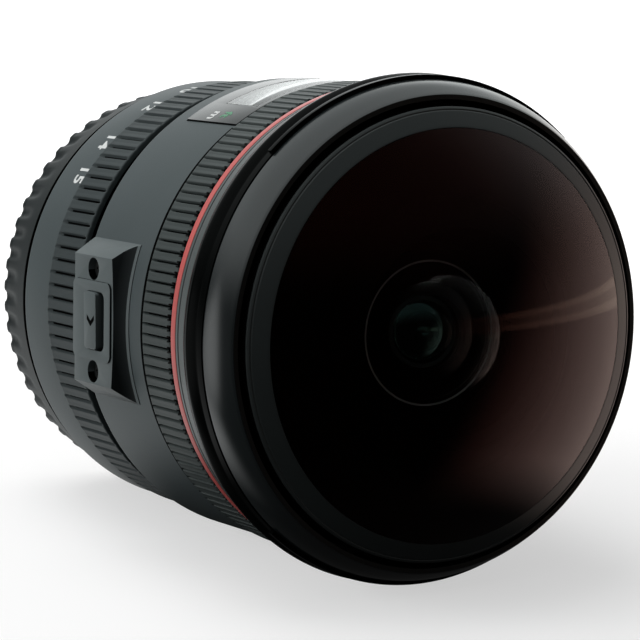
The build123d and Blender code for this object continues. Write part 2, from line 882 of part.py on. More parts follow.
second_curve = 34.0
second_rear_curve = 12.5
second_centre = 2.2
second_edge = 16.95
second_rear_edge = 11.5
second_air = 11.3
second_vertex = front_vertex - front_centre - second_air
second_seat = second_vertex - second_centre - bow(second_rear_curve, second_rear_edge)

with BuildPart() as element_1:
    revolve(
        lens_section(
            front_curve, front_rear_curve, front_vertex, front_centre, front_edge, front_rear_edge
        ),
        axis=Axis.Y,
    )
save(element_1, "element_1")

with BuildPart() as element_2:
    revolve(
        lens_section(
            second_curve, second_rear_curve, second_vertex, second_centre, second_edge, second_rear_edge
        ),
        axis=Axis.Y,
    )
save(element_2, "element_2")

# Front cell: holds the two front elements and slides inside the guide barrel
cell_plate = 2.0
cell_guide_radius = guide_bore - running_gap
cell_guide_wall = 1.8
cell_guide_rear = 49.0
cell_skirt_depth = 5.2
cell_skirt_rear = front_seat - cell_skirt_depth
retainer_edge = 0.4
cell_front = rim_front + retainer_rise - retainer_edge
seat_tube_wall = 1.7
seat_ledge = 2.0
seat_ledge_thickness = 1.2
with BuildPart() as front_cell:
    revolve(
        half_section(
            (front_edge + fit_gap, cell_front),
            (retainer_radius, cell_front),
            (retainer_radius, cell_skirt_rear),
            (cell_guide_radius, cell_skirt_rear),
            (cell_guide_radius, cell_guide_rear),
            (cell_guide_radius - cell_guide_wall, cell_guide_rear),
            (cell_guide_radius - cell_guide_wall, front_seat - cell_plate),
            (second_edge + fit_gap + seat_tube_wall, front_seat - cell_plate),
            (second_edge + fit_gap + seat_tube_wall, second_seat - seat_ledge_thickness),
            (second_edge - seat_ledge, second_seat - seat_ledge_thickness),
            (second_edge - seat_ledge, second_seat),
            (second_edge + fit_gap, second_seat),
            (second_edge + fit_gap, front_seat),
            (front_edge + fit_gap, front_seat),
        ),
        axis=Axis.Y,
    )
    for angle in front_pin_angles:
        pin_foot = cell_guide_radius - cell_guide_wall - overrun
        with BuildSketch(tangent_plane(angle, pin_foot, front_pin_station)):
            Circle(pin_radius + fit_gap)
        extrude(amount=cell_guide_wall + 2 * overrun, mode=Mode.SUBTRACT)
save(front_cell, "front_cell")

# Retaining rings: the satin ring round the front glass, and a small one on the second element
with BuildPart() as front_retainer:
    revolve(
        half_section(
            (front_edge + fit_gap, cell_front),
            (retainer_radius, cell_front),
            (retainer_radius, rim_front + retainer_rise),
            (front_edge + fit_gap, front_edge_station),
        ),
        axis=Axis.Y,
    )
save(front_retainer, "front_retainer")

second_retainer_bore = 14.8
second_retainer_thickness = 1.1
second_retainer_rear = second_vertex - bow(second_curve, second_retainer_bore) + fit_gap
with BuildPart() as second_retainer:
    revolve(
        band(
            second_retainer_bore,
            second_edge,
            second_retainer_rear,
            second_retainer_rear + second_retainer_thickness,
        ),
        axis=Axis.Y,
    )
save(second_retainer, "second_retainer")

pin_reach = cam_radius - running_gap


def follower_pins(angles, station, inner, outer):
    """A set of radial follower pins, as separate solids."""
    with BuildPart() as pins:
        for angle in angles:
            with BuildSketch(tangent_plane(angle, inner, station)):
                Circle(pin_radius)
            extrude(amount=outer - inner)
    return pins


save(
    follower_pins(
        front_pin_angles,
        front_pin_station,
        cell_guide_radius - cell_guide_wall,
        pin_reach,
    ),
    "front_follower_pins",
)

# Focus cell: carries elements 3 and 4 inside the front cell
third_edge = 12.5
third_vertex = 63.0
third_curve = -80.0
third_rear_curve = 17.0
third_centre = 1.8
third_rear_edge = 11.0
fourth_air = 2.2
fourth_curve = 22.0
fourth_rear_curve = -40.0
fourth_centre = 6.0
fourth_edge = 10.6
third_seat = third_vertex - third_centre - bow(third_rear_curve, third_rear_edge)
fourth_vertex = third_vertex - third_centre - fourth_air
fourth_front_station = fourth_vertex - bow(fourth_curve, fourth_edge)
fourth_rear_station = fourth_vertex - fourth_centre - bow(fourth_rear_curve, fourth_edge)
fourth_ledge_station = third_seat - fit_gap

with BuildPart() as element_3:
    revolve(
        lens_section(
            third_curve, third_rear_curve, third_vertex, third_centre, third_edge, third_rear_edge
        ),
        axis=Axis.Y,
    )
save(element_3, "element_3")

with BuildPart() as element_4:
    revolve(
        lens_section(fourth_curve, fourth_rear_curve, fourth_vertex, fourth_centre, fourth_edge),
        axis=Axis.Y,
    )
save(element_4, "element_4")

focus_bore = third_edge + fit_gap
focus_rear_bore = fourth_edge + fit_gap
focus_tube_wall = 1.6
focus_ledge = 0.8
focus_guide_radius = cell_guide_radius - cell_guide_wall - running_gap
focus_guide_wall = 1.4
focus_guide_overhang = 2.0
focus_guide_reach = 8.0
focus_guide_rear = fourth_rear_station - focus_guide_overhang
focus_guide_front = fourth_rear_station + focus_guide_reach
focus_web_thickness = 1.6
focus_cell_lip = 1.2
focus_cell_front = third_vertex + focus_cell_lip
focus_tube_radius = focus_bore + focus_tube_wall
with BuildPart() as focus_cell:
    revolve(
        half_section(
            (focus_bore, focus_cell_front),
            (focus_tube_radius, focus_cell_front),
            (focus_tube_radius, fourth_rear_station + focus_web_thickness),
            (focus_guide_radius - focus_guide_wall, fourth_rear_station + focus_web_thickness),
            (focus_guide_radius - focus_guide_wall, focus_guide_front),
            (focus_guide_radius, focus_guide_front),
            (focus_guide_radius, focus_guide_rear),
            (focus_guide_radius - focus_guide_wall, focus_guide_rear),
            (focus_guide_radius - focus_guide_wall, fourth_rear_station),
            (focus_rear_bore, fourth_rear_station),
            (focus_rear_bore, fourth_front_station + fit_gap),
            (focus_rear_bore - focus_ledge, fourth_ledge_station),
            (focus_rear_bore - focus_ledge, third_seat),
            (focus_bore, third_seat),
        ),
        axis=Axis.Y,
    )
save(focus_cell, "focus_cell")

# Focus drive: the ring motor's fixed stator, and its rotor that turns with the distance scale
motor_inner = 25.0
motor_outer = guide_bore - running_gap
stator_rear = 36.5
stator_length = 4.0
rotor_length = 3.0
stator_tooth_count = 48
stator_tooth_depth = 0.8
with BuildPart() as motor_stator:
    revolve(band(motor_inner, guide_bore, stator_rear, stator_rear + stator_length), axis=Axis.Y)
    with BuildSketch(station_plane(stator_rear + stator_length)):
        with PolarLocations((motor_inner + guide_bore) / 2, stator_tooth_count):
            Rectangle(guide_bore - motor_inner + overrun, stator_tooth_depth)
    extrude(amount=-stator_tooth_depth, mode=Mode.SUBTRACT)
save(motor_stator, "motor_stator")

rotor_rear = stator_rear + stator_length + fit_gap
with BuildPart() as motor_rotor:
    revolve(band(motor_inner, motor_outer, rotor_rear, rotor_rear + rotor_length), axis=Axis.Y)
save(motor_rotor, "motor_rotor")

# Rear group: ten elements in a stepped barrel, with the aperture unit between the second and the third.
# A row of the table is an element's number, its two curves, its thickness and the air behind it, as shares
# of one optical length.
rear_edge = 9.4
rear_group_front = 41.6
optical_length = 10.0
rear_element_shares = [
    (5, 3.0, -2.5, 0.42, 0.0),
    (6, -2.5, -9.0, 0.12, 0.52),
    (7, -4.0, 6.0, 0.12, 0.08),
    (8, 4.0, -2.0, 0.44, 0.0),
    (9, -2.0, -6.0, 0.12, 0.04),
    (10, 3.5, -10.0, 0.28, 0.08),
    (11, -10.0, 2.2, 0.12, 0.0),
    (12, 2.2, -3.5, 0.42, 0.1),
    (13, -3.0, 8.0, 0.12, 0.06),
    (14, 6.0, -4.5, 0.32, 0.0),
]
spacer_wall = 0.7
vertex = rear_group_front
front_seats = {}
rear_seats = {}
sections = {}
for number, *element_shares in rear_element_shares:
    curve, back_curve, thickness, air = [share * optical_length for share in element_shares]
    back_vertex = vertex - thickness
    seat_heights = (rear_edge - spacer_wall, rear_edge)
    front_seats[number] = max(vertex - bow(curve, height) for height in seat_heights)
    rear_seats[number] = min(back_vertex - bow(back_curve, height) for height in seat_heights)
    sections[number] = lens_section(curve, back_curve, vertex, thickness, rear_edge)
    vertex = back_vertex - air

# Six of the ten are cemented in pairs; a pair is one node with two solids
for name, numbers in (
    ("doublet_5_6", (5, 6)),
    ("element_7", (7,)),
    ("doublet_8_9", (8, 9)),
    ("element_10", (10,)),
    ("doublet_11_12", (11, 12)),
    ("element_13", (13,)),
    ("element_14", (14,)),
):
    glasses = []
    for number in numbers:
        with BuildPart() as glass:
            revolve(sections[number], axis=Axis.Y)
        glasses.append(glass.part.solid())
    group = Compound(children=glasses)
    group.label = name
    export_step(group, f"parts/{name}.step")

# Spacers between the rear elements, as separate rings
with BuildPart() as rear_spacers:
    for ahead, behind in ((7, 8), (9, 10), (10, 11), (12, 13), (13, 14)):
        revolve(
            band(
                rear_edge - spacer_wall,
                rear_edge,
                front_seats[behind] + fit_gap,
                rear_seats[ahead] - fit_gap,
            ),
            axis=Axis.Y,
        )
save(rear_spacers, "rear_spacers")

# Rear cell: the tube behind the stop, with a web out to the guide barrel
rear_cell_bore = rear_edge + fit_gap
rear_cell_wall = 1.6
rear_cell_radius = rear_cell_bore + rear_cell_wall
rear_cell_ledge = spacer_wall
rear_cell_ledge_thickness = 1.0
rear_cell_rear = rear_seats[14] - rear_cell_ledge_thickness
rear_cell_front = front_seats[7]
rear_guide_radius = guide_bore - running_gap
rear_guide_wall = 1.8
rear_web_setback = 4.4
rear_web_rear = rear_pin_station - rear_web_setback
rear_guide_rear = 17.0
rear_guide_front = 26.0
rear_web_thickness = 1.8
with BuildPart() as rear_cell:
    revolve(
        half_section(
            (rear_cell_bore, rear_cell_front),
            (rear_cell_radius, rear_cell_front),
            (rear_cell_radius, rear_web_rear + rear_web_thickness),
            (rear_guide_radius - rear_guide_wall, rear_web_rear + rear_web_thickness),
            (rear_guide_radius - rear_guide_wall, rear_guide_front),
            (rear_guide_radius, rear_guide_front),
            (rear_guide_radius, rear_guide_rear),
            (rear_guide_radius - rear_guide_wall, rear_guide_rear),
            (rear_guide_radius - rear_guide_wall, rear_web_rear),
            (rear_cell_radius, rear_web_rear),
            (rear_cell_radius, rear_cell_rear),
            (rear_cell_bore - rear_cell_ledge, rear_cell_rear),
            (rear_cell_bore - rear_cell_ledge, rear_seats[14] - fit_gap),
            (rear_cell_bore, rear_seats[14] - fit_gap),
        ),
        axis=Axis.Y,
    )
    for angle in rear_pin_angles:
        pin_foot = rear_guide_radius - rear_guide_wall - overrun
        with BuildSketch(tangent_plane(angle, pin_foot, rear_pin_station)):
            Circle(pin_radius + fit_gap)
        extrude(amount=rear_guide_wall + 2 * overrun, mode=Mode.SUBTRACT)
save(rear_cell, "rear_cell")

save(
    follower_pins(rear_pin_angles, rear_pin_station, rear_guide_radius - rear_guide_wall, pin_reach),
    "rear_follower_pins",
)

# Aperture unit: a base cup, seven blades on their own pivots, a drive ring with slanted slots, and a cover
# whose tube holds the cemented pair in front of the stop
blade_count = 7
blade_thickness = 0.15
blade_pitch = 0.25
blade_inner = 9.9
blade_outer = 13.4
blade_root_angle = 4.0
blade_tip_angle = 78.0
blade_tab_outer = 16.3
blade_tab_front_angle = 20.0
blade_tab_rear_angle = -6.0
blade_pivot_circle = 15.0
blade_drive_angle = 14.0
blade_pin_radius = 0.5
blade_swing = 25.0
drive_ring_turn = 20.0
drive_ring_thickness = 0.6
drive_ring_radius = 17.5
drive_slot_gap = 0.15
drive_slot_width = 2 * (blade_pin_radius + drive_slot_gap)
drive_slot_steps = 5
stop_base_thickness = 0.9
stop_cover_thickness = 0.7
stop_radius = 23.5
stop_wall = 1.4
stop_air = 0.15
stop_base_rear = rear_cell_front
stop_floor = stop_base_rear + stop_base_thickness
blade_first = stop_floor + stop_air
drive_ring_rear = blade_first + blade_count * blade_pitch + stop_air
stop_cover_rear = drive_ring_rear + drive_ring_thickness + stop_air
stop_front = stop_cover_rear + stop_cover_thickness
blade_angles = [360 / blade_count * number for number in range(blade_count)]


def polar_point(radius, angle):
    """A point across the axis, from its radius and angle."""
    return (radius * cos(radians(angle)), radius * sin(radians(angle)))


with BuildPart() as aperture_base:
    revolve(
        half_section(
            (rear_cell_bore, stop_base_rear),
            (stop_radius, stop_base_rear),
            (stop_radius, stop_cover_rear),
            (stop_radius - stop_wall, stop_cover_rear),
            (stop_radius - stop_wall, stop_floor),
            (rear_cell_bore, stop_floor),
        ),
        axis=Axis.Y,
    )
    with BuildSketch(station_plane(stop_base_rear)):
        with PolarLocations(blade_pivot_circle, blade_count):
            Circle(blade_pin_radius + fit_gap)
    extrude(amount=stop_base_thickness, mode=Mode.SUBTRACT)
save(aperture_base, "aperture_base")

with BuildPart() as aperture_cover:
    revolve(
        half_section(
            (rear_cell_bore - rear_cell_ledge, stop_cover_rear),
            (stop_radius, stop_cover_rear),
            (stop_radius, stop_front),
            (rear_cell_radius, stop_front),
            (rear_cell_radius, rear_group_front),
            (rear_cell_bore, rear_group_front),
            (rear_cell_bore, stop_front),
            (rear_cell_bore - rear_cell_ledge, stop_front),
        ),
        axis=Axis.Y,
    )
save(aperture_cover, "aperture_cover")

# Each blade is a crescent at its own level, with a pivot pin to the base and a drive pin to the ring
for number, angle in enumerate(blade_angles):
    level = blade_first + number * blade_pitch
    with BuildPart() as blade:
        with BuildSketch(station_plane(level)):
            with BuildLine():
                tip_middle = (blade_inner + blade_outer) / 2
                bend = angle + (blade_root_angle + blade_tip_angle) / 2
                ThreePointArc(
                    polar_point(blade_inner, angle + blade_root_angle),
                    polar_point(blade_inner, bend),
                    polar_point(blade_inner, angle + blade_tip_angle),
                )
                ThreePointArc(
                    polar_point(blade_inner, angle + blade_tip_angle),
                    polar_point(tip_middle, angle + blade_tip_angle + blade_root_angle),
                    polar_point(blade_outer, angle + blade_tip_angle),
                )
                ThreePointArc(
                    polar_point(blade_outer, angle + blade_tip_angle),
                    polar_point(blade_outer, bend + blade_root_angle),
                    polar_point(blade_outer, angle + blade_tab_front_angle),
                )
                Line(
                    polar_point(blade_outer, angle + blade_tab_front_angle),
                    polar_point(blade_tab_outer, angle + blade_drive_angle + blade_root_angle),
                )
                ThreePointArc(
                    polar_point(blade_tab_outer, angle + blade_drive_angle + blade_root_angle),
                    polar_point(blade_tab_outer, angle + blade_root_angle),
                    polar_point(blade_tab_outer, angle + blade_tab_rear_angle),
                )
                Line(
                    polar_point(blade_tab_outer, angle + blade_tab_rear_angle),
                    polar_point(blade_inner, angle + blade_root_angle),
                )
            make_face()
        extrude(amount=blade_thickness)
        with BuildSketch(station_plane(level)):
            with Locations(polar_point(blade_pivot_circle, angle)):
                Circle(blade_pin_radius)
        extrude(amount=-(level - stop_base_rear - stop_air))
        with BuildSketch(station_plane(level)):
            with Locations(polar_point(blade_pivot_circle, angle + blade_drive_angle)):
                Circle(blade_pin_radius)
        extrude(amount=drive_ring_rear + drive_ring_thickness - level)
    save(blade, f"aperture_blade_{number + 1}")


def drive_pin_path(angle):
    """Where a blade's drive pin runs in the drive ring, from open to closed."""
    pivot_x, pivot_y = polar_point(blade_pivot_circle, angle)
    pin_x, pin_y = polar_point(blade_pivot_circle, angle + blade_drive_angle)
    path = []
    for step in range(drive_slot_steps + 1):
        share = step / drive_slot_steps
        swing = radians(blade_swing * share)
        turn = radians(-drive_ring_turn * share)
        arm_x, arm_y = pin_x - pivot_x, pin_y - pivot_y
        place_x = pivot_x + arm_x * cos(swing) - arm_y * sin(swing)
        place_y = pivot_y + arm_x * sin(swing) + arm_y * cos(swing)
        path.append((place_x * cos(turn) - place_y * sin(turn), place_x * sin(turn) + place_y * cos(turn)))
    return path


with BuildPart() as aperture_ring:
    with BuildSketch(station_plane(drive_ring_rear)):
        Circle(drive_ring_radius)
        Circle(blade_inner, mode=Mode.SUBTRACT)
        for angle in blade_angles:
            path = drive_pin_path(angle)
            with BuildLine() as slot_line:
                Polyline(*path)
            trace(slot_line.line, drive_slot_width, mode=Mode.SUBTRACT)
            with Locations(*path):
                Circle(drive_slot_width / 2, mode=Mode.SUBTRACT)
    extrude(amount=drive_ring_thickness)
save(aperture_ring, "aperture_ring")
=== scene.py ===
# %% [markdown]
# A zoom fisheye lens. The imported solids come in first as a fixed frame. Each visible ring is then made again
# with finer edges, because light on a turned ring shows every flat and every sharp corner of a plain solid.

# %% The frame
from math import cos, degrees, hypot, pi, radians, sin, sqrt

import bmesh
import bpy
from mathutils import Matrix, Vector


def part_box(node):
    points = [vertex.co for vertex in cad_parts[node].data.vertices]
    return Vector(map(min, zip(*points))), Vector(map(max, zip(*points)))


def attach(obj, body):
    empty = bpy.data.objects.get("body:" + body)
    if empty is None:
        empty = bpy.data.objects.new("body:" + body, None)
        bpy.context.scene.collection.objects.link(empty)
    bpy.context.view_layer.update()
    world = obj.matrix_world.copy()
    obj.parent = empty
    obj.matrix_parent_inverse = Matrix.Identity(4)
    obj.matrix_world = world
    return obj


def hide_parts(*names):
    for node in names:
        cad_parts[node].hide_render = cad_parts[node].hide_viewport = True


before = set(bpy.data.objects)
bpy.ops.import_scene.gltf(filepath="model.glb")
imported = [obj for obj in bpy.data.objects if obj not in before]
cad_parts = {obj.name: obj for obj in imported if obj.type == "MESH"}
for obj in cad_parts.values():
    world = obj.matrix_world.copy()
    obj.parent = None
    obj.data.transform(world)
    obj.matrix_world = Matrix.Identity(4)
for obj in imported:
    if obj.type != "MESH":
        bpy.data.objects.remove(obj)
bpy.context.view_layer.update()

print(len(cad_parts), "solids in the frame")

# %% [markdown]
# The lens lies along Y with its front towards -Y. A place is easiest to give as a radius, a station in front
# of the mount face and an angle from +X towards +Z, all in millimetres and degrees, as a lens maker would.

# %% Places on the lens
MM = 0.001
SMOOTH_BELOW = 32  # degrees: a flatter edge is shaded as part of a curve, a steeper one as a real edge
SAME_POINT = 1e-7  # metres: points closer than this are one point


def place(radius, station, angle):
    turn = radians(angle)
    return Vector((radius * cos(turn), -station, radius * sin(turn))) * MM


def new_object(name, mesh):
    made = bpy.data.objects.new(name, mesh)
    bpy.context.scene.collection.objects.link(made)
    return made


print("front glass edge at", place(31.45, 84.15, 90))

# %% [markdown]
# Each outline is a closed half section. Real edges are broken by a small radius, which catches a thin line of
# light, so a corner may carry its own radius and is then replaced by a short curve.

# %% Rounded outlines and turned rings


def rounded(corners, steps=4):
    points = []
    for index, (radius, station, *edge) in enumerate(corners):
        here = Vector((radius, station))
        if not edge:
            points.append(here)
            continue
        before = Vector(corners[index - 1][:2]) - here
        after = Vector(corners[(index + 1) % len(corners)][:2]) - here
        start, end = here + before.normalized() * edge[0], here + after.normalized() * edge[0]
        for step in range(steps + 1):
            share = step / steps
            points.append(start.lerp(here, share).lerp(here.lerp(end, share), share))
    return points


def solid(name, rows, closed, smooth=SMOOTH_BELOW):
    """A closed mesh from rows of points; each row is an outline at one angle."""
    build = bmesh.new()
    grid = [[build.verts.new(point) for point in row] for row in rows]
    pairs = list(zip(grid, grid[1:] + grid[:1])) if closed else list(zip(grid, grid[1:]))
    for one, two in pairs:
        for index in range(len(one)):
            after = (index + 1) % len(one)
            build.faces.new((one[index], one[after], two[after], two[index]))
    if not closed:
        build.faces.new(grid[0])
        build.faces.new(grid[-1])
    bmesh.ops.remove_doubles(build, verts=build.verts, dist=SAME_POINT)
    bmesh.ops.recalc_face_normals(build, faces=build.faces)
    mesh = bpy.data.meshes.new(name)
    build.to_mesh(mesh)
    build.free()
    mesh.shade_smooth()
    mesh.set_sharp_from_angle(angle=radians(smooth))
    return new_object(name, mesh)


def lathe(name, corners, start=0.0, span=360.0, segments=288, smooth=SMOOTH_BELOW):
    outline = rounded(corners)
    closed = span == 360.0
    count = segments if closed else max(8, round(segments * span / 360)) + 1
    turns = [start + span * step / (count if closed else count - 1) for step in range(count)]
    return solid(name, [[place(p.x, p.y, turn) for p in outline] for turn in turns], closed, smooth)


print("an outline corner of radius 0.3 becomes", len(rounded([(1, 0), (1, 1, 0.3), (0, 1)])) - 2, "points")

# %% [markdown]
# Ribs, scallops, screws and pins all stand in even steps round the axis. One Geometry Nodes tree makes the
# copies: points for each place, one instance on each, turned about Y. Copies are made real at the end, and the
# result is kept as plain mesh.

# %% Copies round the axis


def add(tree, kind, settings=None, sockets=None):
    """Adds a node, sets it up, and fills its inputs with values or with links."""
    made = tree.nodes.new(kind)
    for name, value in (settings or {}).items():
        setattr(made, name, value)
    for key, value in (sockets or {}).items():
        if isinstance(value, bpy.types.NodeSocket):
            tree.links.new(value, made.inputs[key])
        else:
            made.inputs[key].default_value = value
    return made


round_tree = bpy.data.node_groups.new("copies round the axis", "GeometryNodeTree")
for socket_name, socket_type in (
    ("Geometry", "NodeSocketGeometry"), ("Count", "NodeSocketInt"), ("Step angle", "NodeSocketFloat"),
    ("First angle", "NodeSocketFloat"), ("Material", "NodeSocketMaterial"),
):
    round_tree.interface.new_socket(socket_name, in_out="INPUT", socket_type=socket_type)
round_tree.interface.new_socket("Geometry", in_out="OUTPUT", socket_type="NodeSocketGeometry")
given = add(round_tree, "NodeGroupInput")
number = add(round_tree, "GeometryNodeInputIndex")
turn_steps = add(round_tree, "ShaderNodeMath", {"operation": "MULTIPLY_ADD"}, {
    0: number.outputs[0], 1: given.outputs["Step angle"], 2: given.outputs["First angle"]})
turn = add(round_tree, "ShaderNodeMath", {"operation": "MULTIPLY"}, {0: turn_steps.outputs[0], 1: -pi / 180})
axis_turn = add(round_tree, "ShaderNodeCombineXYZ", sockets={"Y": turn.outputs[0]})
points = add(round_tree, "GeometryNodePoints", sockets={"Count": given.outputs["Count"]})
copies = add(round_tree, "GeometryNodeInstanceOnPoints", sockets={
    "Points": points.outputs[0], "Instance": given.outputs["Geometry"], "Rotation": axis_turn.outputs[0]})
real = add(round_tree, "GeometryNodeRealizeInstances", sockets={0: copies.outputs[0]})
painted = add(round_tree, "GeometryNodeSetMaterial", sockets={
    "Geometry": real.outputs[0], "Material": given.outputs["Material"]})
add(round_tree, "NodeGroupOutput", sockets={0: painted.outputs[0]})
round_inputs = {item.name: item.identifier for item in round_tree.interface.items_tree if item.in_out == "INPUT"}


SLICE_GAP = 2e-6  # metres: the edges of two slices lie closer than this


def settle(thing, smooth=None):
    """Keeps what the modifiers made as plain mesh, and takes the modifiers away."""
    graph = bpy.context.evaluated_depsgraph_get()
    mesh = bpy.data.meshes.new_from_object(thing.evaluated_get(graph))
    thing.modifiers.clear()
    thing.data = mesh
    if smooth:
        mesh.shade_smooth()
        mesh.set_sharp_from_angle(angle=radians(smooth))
    return thing


def around(thing, count, material, first=0.0, join=False, smooth=SMOOTH_BELOW):
    """Copies a thing round the axis; join welds slices whose edges meet."""
    copier = thing.modifiers.new("round", "NODES")
    copier.node_group = round_tree
    copier[round_inputs["Count"]] = count
    copier[round_inputs["Step angle"]] = 360 / count
    copier[round_inputs["First angle"]] = float(first)
    copier[round_inputs["Material"]] = material
    settle(thing)
    build = bmesh.new()
    build.from_mesh(thing.data)
    if join:
        bmesh.ops.remove_doubles(build, verts=build.verts, dist=SLICE_GAP)
    bmesh.ops.recalc_face_normals(build, faces=build.faces)
    build.to_mesh(thing.data)
    build.free()
    thing.data.shade_smooth()
    thing.data.set_sharp_from_angle(angle=radians(smooth))
    return thing


def sector(name, count, columns, outline_at):
    """One open slice of a ribbed ring: outline_at(share) gives its outline from one edge to the other."""
    build = bmesh.new()
    grid = []
    for column in range(columns + 1):
        share = column / columns
        angle = (share - 0.5) * 360 / count
        grid.append([build.verts.new(place(radius, station, angle)) for radius, station in outline_at(share)])
    for one, two in zip(grid, grid[1:]):
        for index in range(len(one)):
            after = (index + 1) % len(one)
            build.faces.new((one[index], one[after], two[after], two[index]))
    mesh = bpy.data.meshes.new(name)
    build.to_mesh(mesh)
    build.free()
    return new_object(name, mesh)


def seat(thing, body, slot, *nodes):
    """Lets a piece ride on its body and stand for its solids; the slot is not used."""
    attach(thing, body)
    if nodes:
        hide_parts(*nodes)
    print(thing.name, len(thing.data.polygons), "faces")
    return thing


print("inputs of the tree:", sorted(round_inputs))

# %% [markdown]
# Colours are written as they look on a screen. A shader counts in linear light, so one function turns them.
# Most parts here are one of a few finishes, each with its own fine grain, so the shared part of a finish is a
# Principled shader with a noise on Object coordinates that moves the colour a little and roughens the surface.

# %% Colour and the shared part of a finish
CLOUD_SCALE = 60.0  # the colour drifts in clouds about 17 mm wide, as a sprayed coat does
GRAIN_HEIGHT = 0.00002  # metres: grains of paint stand out by about two hundredths of a millimetre


def linear(code):
    values = [int(code[index:index + 2], 16) / 255 for index in (1, 3, 5)]
    return tuple(v / 12.92 if v <= 0.04045 else ((v + 0.055) / 1.055) ** 2.4 for v in values) + (1.0,)


def finish(name, code, other, grain, roughness, spread, bump, **shader_values):
    """A finish with two close colours and a grain of a given size in millimetres."""
    material = bpy.data.materials.new(name)
    material.use_nodes = True
    tree = material.node_tree
    shader = tree.nodes["Principled BSDF"]
    where = add(tree, "ShaderNodeTexCoord")
    noise = add(tree, "ShaderNodeTexNoise", sockets={
        "Vector": where.outputs["Object"], "Scale": 1000 / grain, "Detail": 3.0, "Roughness": 0.6})
    cloud = add(tree, "ShaderNodeTexNoise", sockets={
        "Vector": where.outputs["Object"], "Scale": CLOUD_SCALE, "Detail": 2.0})
    colour = add(tree, "ShaderNodeMix", {"data_type": "RGBA"}, {
        "Factor": cloud.outputs["Fac"], 6: linear(code), 7: linear(other)})
    rough = add(tree, "ShaderNodeMapRange", sockets={
        "Value": noise.outputs["Fac"], "To Min": roughness - spread, "To Max": roughness + spread})
    raised = add(tree, "ShaderNodeBump", sockets={
        "Strength": bump, "Distance": GRAIN_HEIGHT, "Height": noise.outputs["Fac"]})
    tree.links.new(colour.outputs[2], shader.inputs["Base Color"])
    tree.links.new(rough.outputs[0], shader.inputs["Roughness"])
    tree.links.new(raised.outputs[0], shader.inputs["Normal"])
    for key, value in shader_values.items():
        shader.inputs[key.replace("_", " ")].default_value = value
    return material


print("mid grey is", round(linear("#808080")[0], 3), "in linear light")

# %% [markdown]
# The barrel is aluminium with a sprayed matt paint: fine grains of paint scatter the light, so highlights are
# wide and soft. The two grips are moulded rubber, which is darker in the grooves and a little rougher. The
# front rings have a smooth paint under a clear gloss. Each finish is given as its two colours, its grain in
# millimetres, its roughness and the spread of it, and its bump. A real grain is a few hundredths of a
# millimetre, finer than the picture can show, so all are drawn between 0.08 and 0.6 mm.

# %% Paints, rubber, plastics and metals
# Sprayed paint: no mirror image anywhere, only soft highlights.
# This copy of the matt paint is much darker than the barrel's: painted shade on the rear part, which faces back.
rear_paint_darker_as_shade = finish(
    "sprayed matt black paint, rear barrel", "#0D1314", "#131A1B", 0.16, 0.5, 0.08, 0.35, Specular_IOR_Level=0.2)
barrel_paint = finish(
    "sprayed matt black paint", "#3A4243", "#424A4C", 0.16, 0.48, 0.08, 0.35, Specular_IOR_Level=0.35)
grey_band = finish("sprayed satin grey paint", "#404747", "#474E4E", 0.14, 0.4, 0.06, 0.25)

# Moulded rubber: greyer than paint in the light, with hardly any shine.
grip_rubber = finish(
    "moulded ribbed rubber", "#2E3435", "#363D3E", 0.22, 0.5, 0.08, 0.3, Specular_IOR_Level=0.2)
focus_rubber = finish(
    "moulded focus rubber", "#323838", "#3A4140", 0.22, 0.48, 0.08, 0.3, Specular_IOR_Level=0.3)

# Gloss paint and enamel: smooth enough to mirror the dark room and its soft lights as streaks.
gloss_paint = finish(
    "polished black paint", "#040505", "#060707", 0.5, 0.13, 0.02, 0.03, Specular_IOR_Level=0.03)
rim_paint = finish(
    "polished grey-black paint", "#14191A", "#181D1E", 0.5, 0.2, 0.02, 0.04, Specular_IOR_Level=1.0)
red_enamel = finish("sprayed red enamel", "#B04E4B", "#B85552", 0.3, 0.32, 0.04, 0.1)

# Anodised aluminium: a thin dyed skin with a satin sheen. The two light grey rings deep in the lens are painted
# highlights.
lip_painted_highlight = finish("light grey lip colour, painted highlight", "#828E8E", "#8C9898", 0.12, 0.4, 0.06, 0.2)
ring_satin = finish(
    "black anodised aluminium, finely blasted", "#333838", "#383D3D", 0.12, 0.34, 0.06, 0.2, Specular_IOR_Level=0.4)
satin_black = finish(
    "satin black anodised aluminium", "#0D0F0F", "#111313", 0.12, 0.36, 0.06, 0.2, Specular_IOR_Level=0.3)
edge_painted_highlight = finish("light grey edge colour, painted highlight", "#98A2A2", "#A2ACAC", 0.1, 0.35, 0.05, 0.2)

# Dead matt paint: swallows light inside the lens; on joints, groove floors and in holes it is painted shade.
matt_black_and_painted_shade = finish(
    "dead matt black paint and painted shade", "#030303", "#050505", 0.15, 0.8, 0.05, 0.2, Specular_IOR_Level=0.02)

# Plastics: the eroded mould leaves a fine texture, the acrylic plate is polished. The darker copy for the panel's
# hollow is painted shade.
panel_plastic = finish(
    "moulded black polycarbonate", "#485051", "#505859", 0.18, 0.45, 0.07, 0.3, Specular_IOR_Level=0.35)
panel_hollow_painted_shade = finish(
    "spark-eroded black polycarbonate, darker as painted shade", "#101415", "#151A1B", 0.15, 0.6, 0.05, 0.3, Specular_IOR_Level=0.15)
inner_plastic = finish(
    "glass-filled black polyamide", "#151818", "#1B1E1E", 0.2, 0.5, 0.08, 0.3, Specular_IOR_Level=0.35)
frame_plate = finish("smooth dark acrylic plate", "#0B0D0D", "#0E1010", 0.6, 0.12, 0.02, 0.02)
board_green = finish("green solder mask on board", "#12583A", "#0F4A31", 0.4, 0.3, 0.05, 0.05)

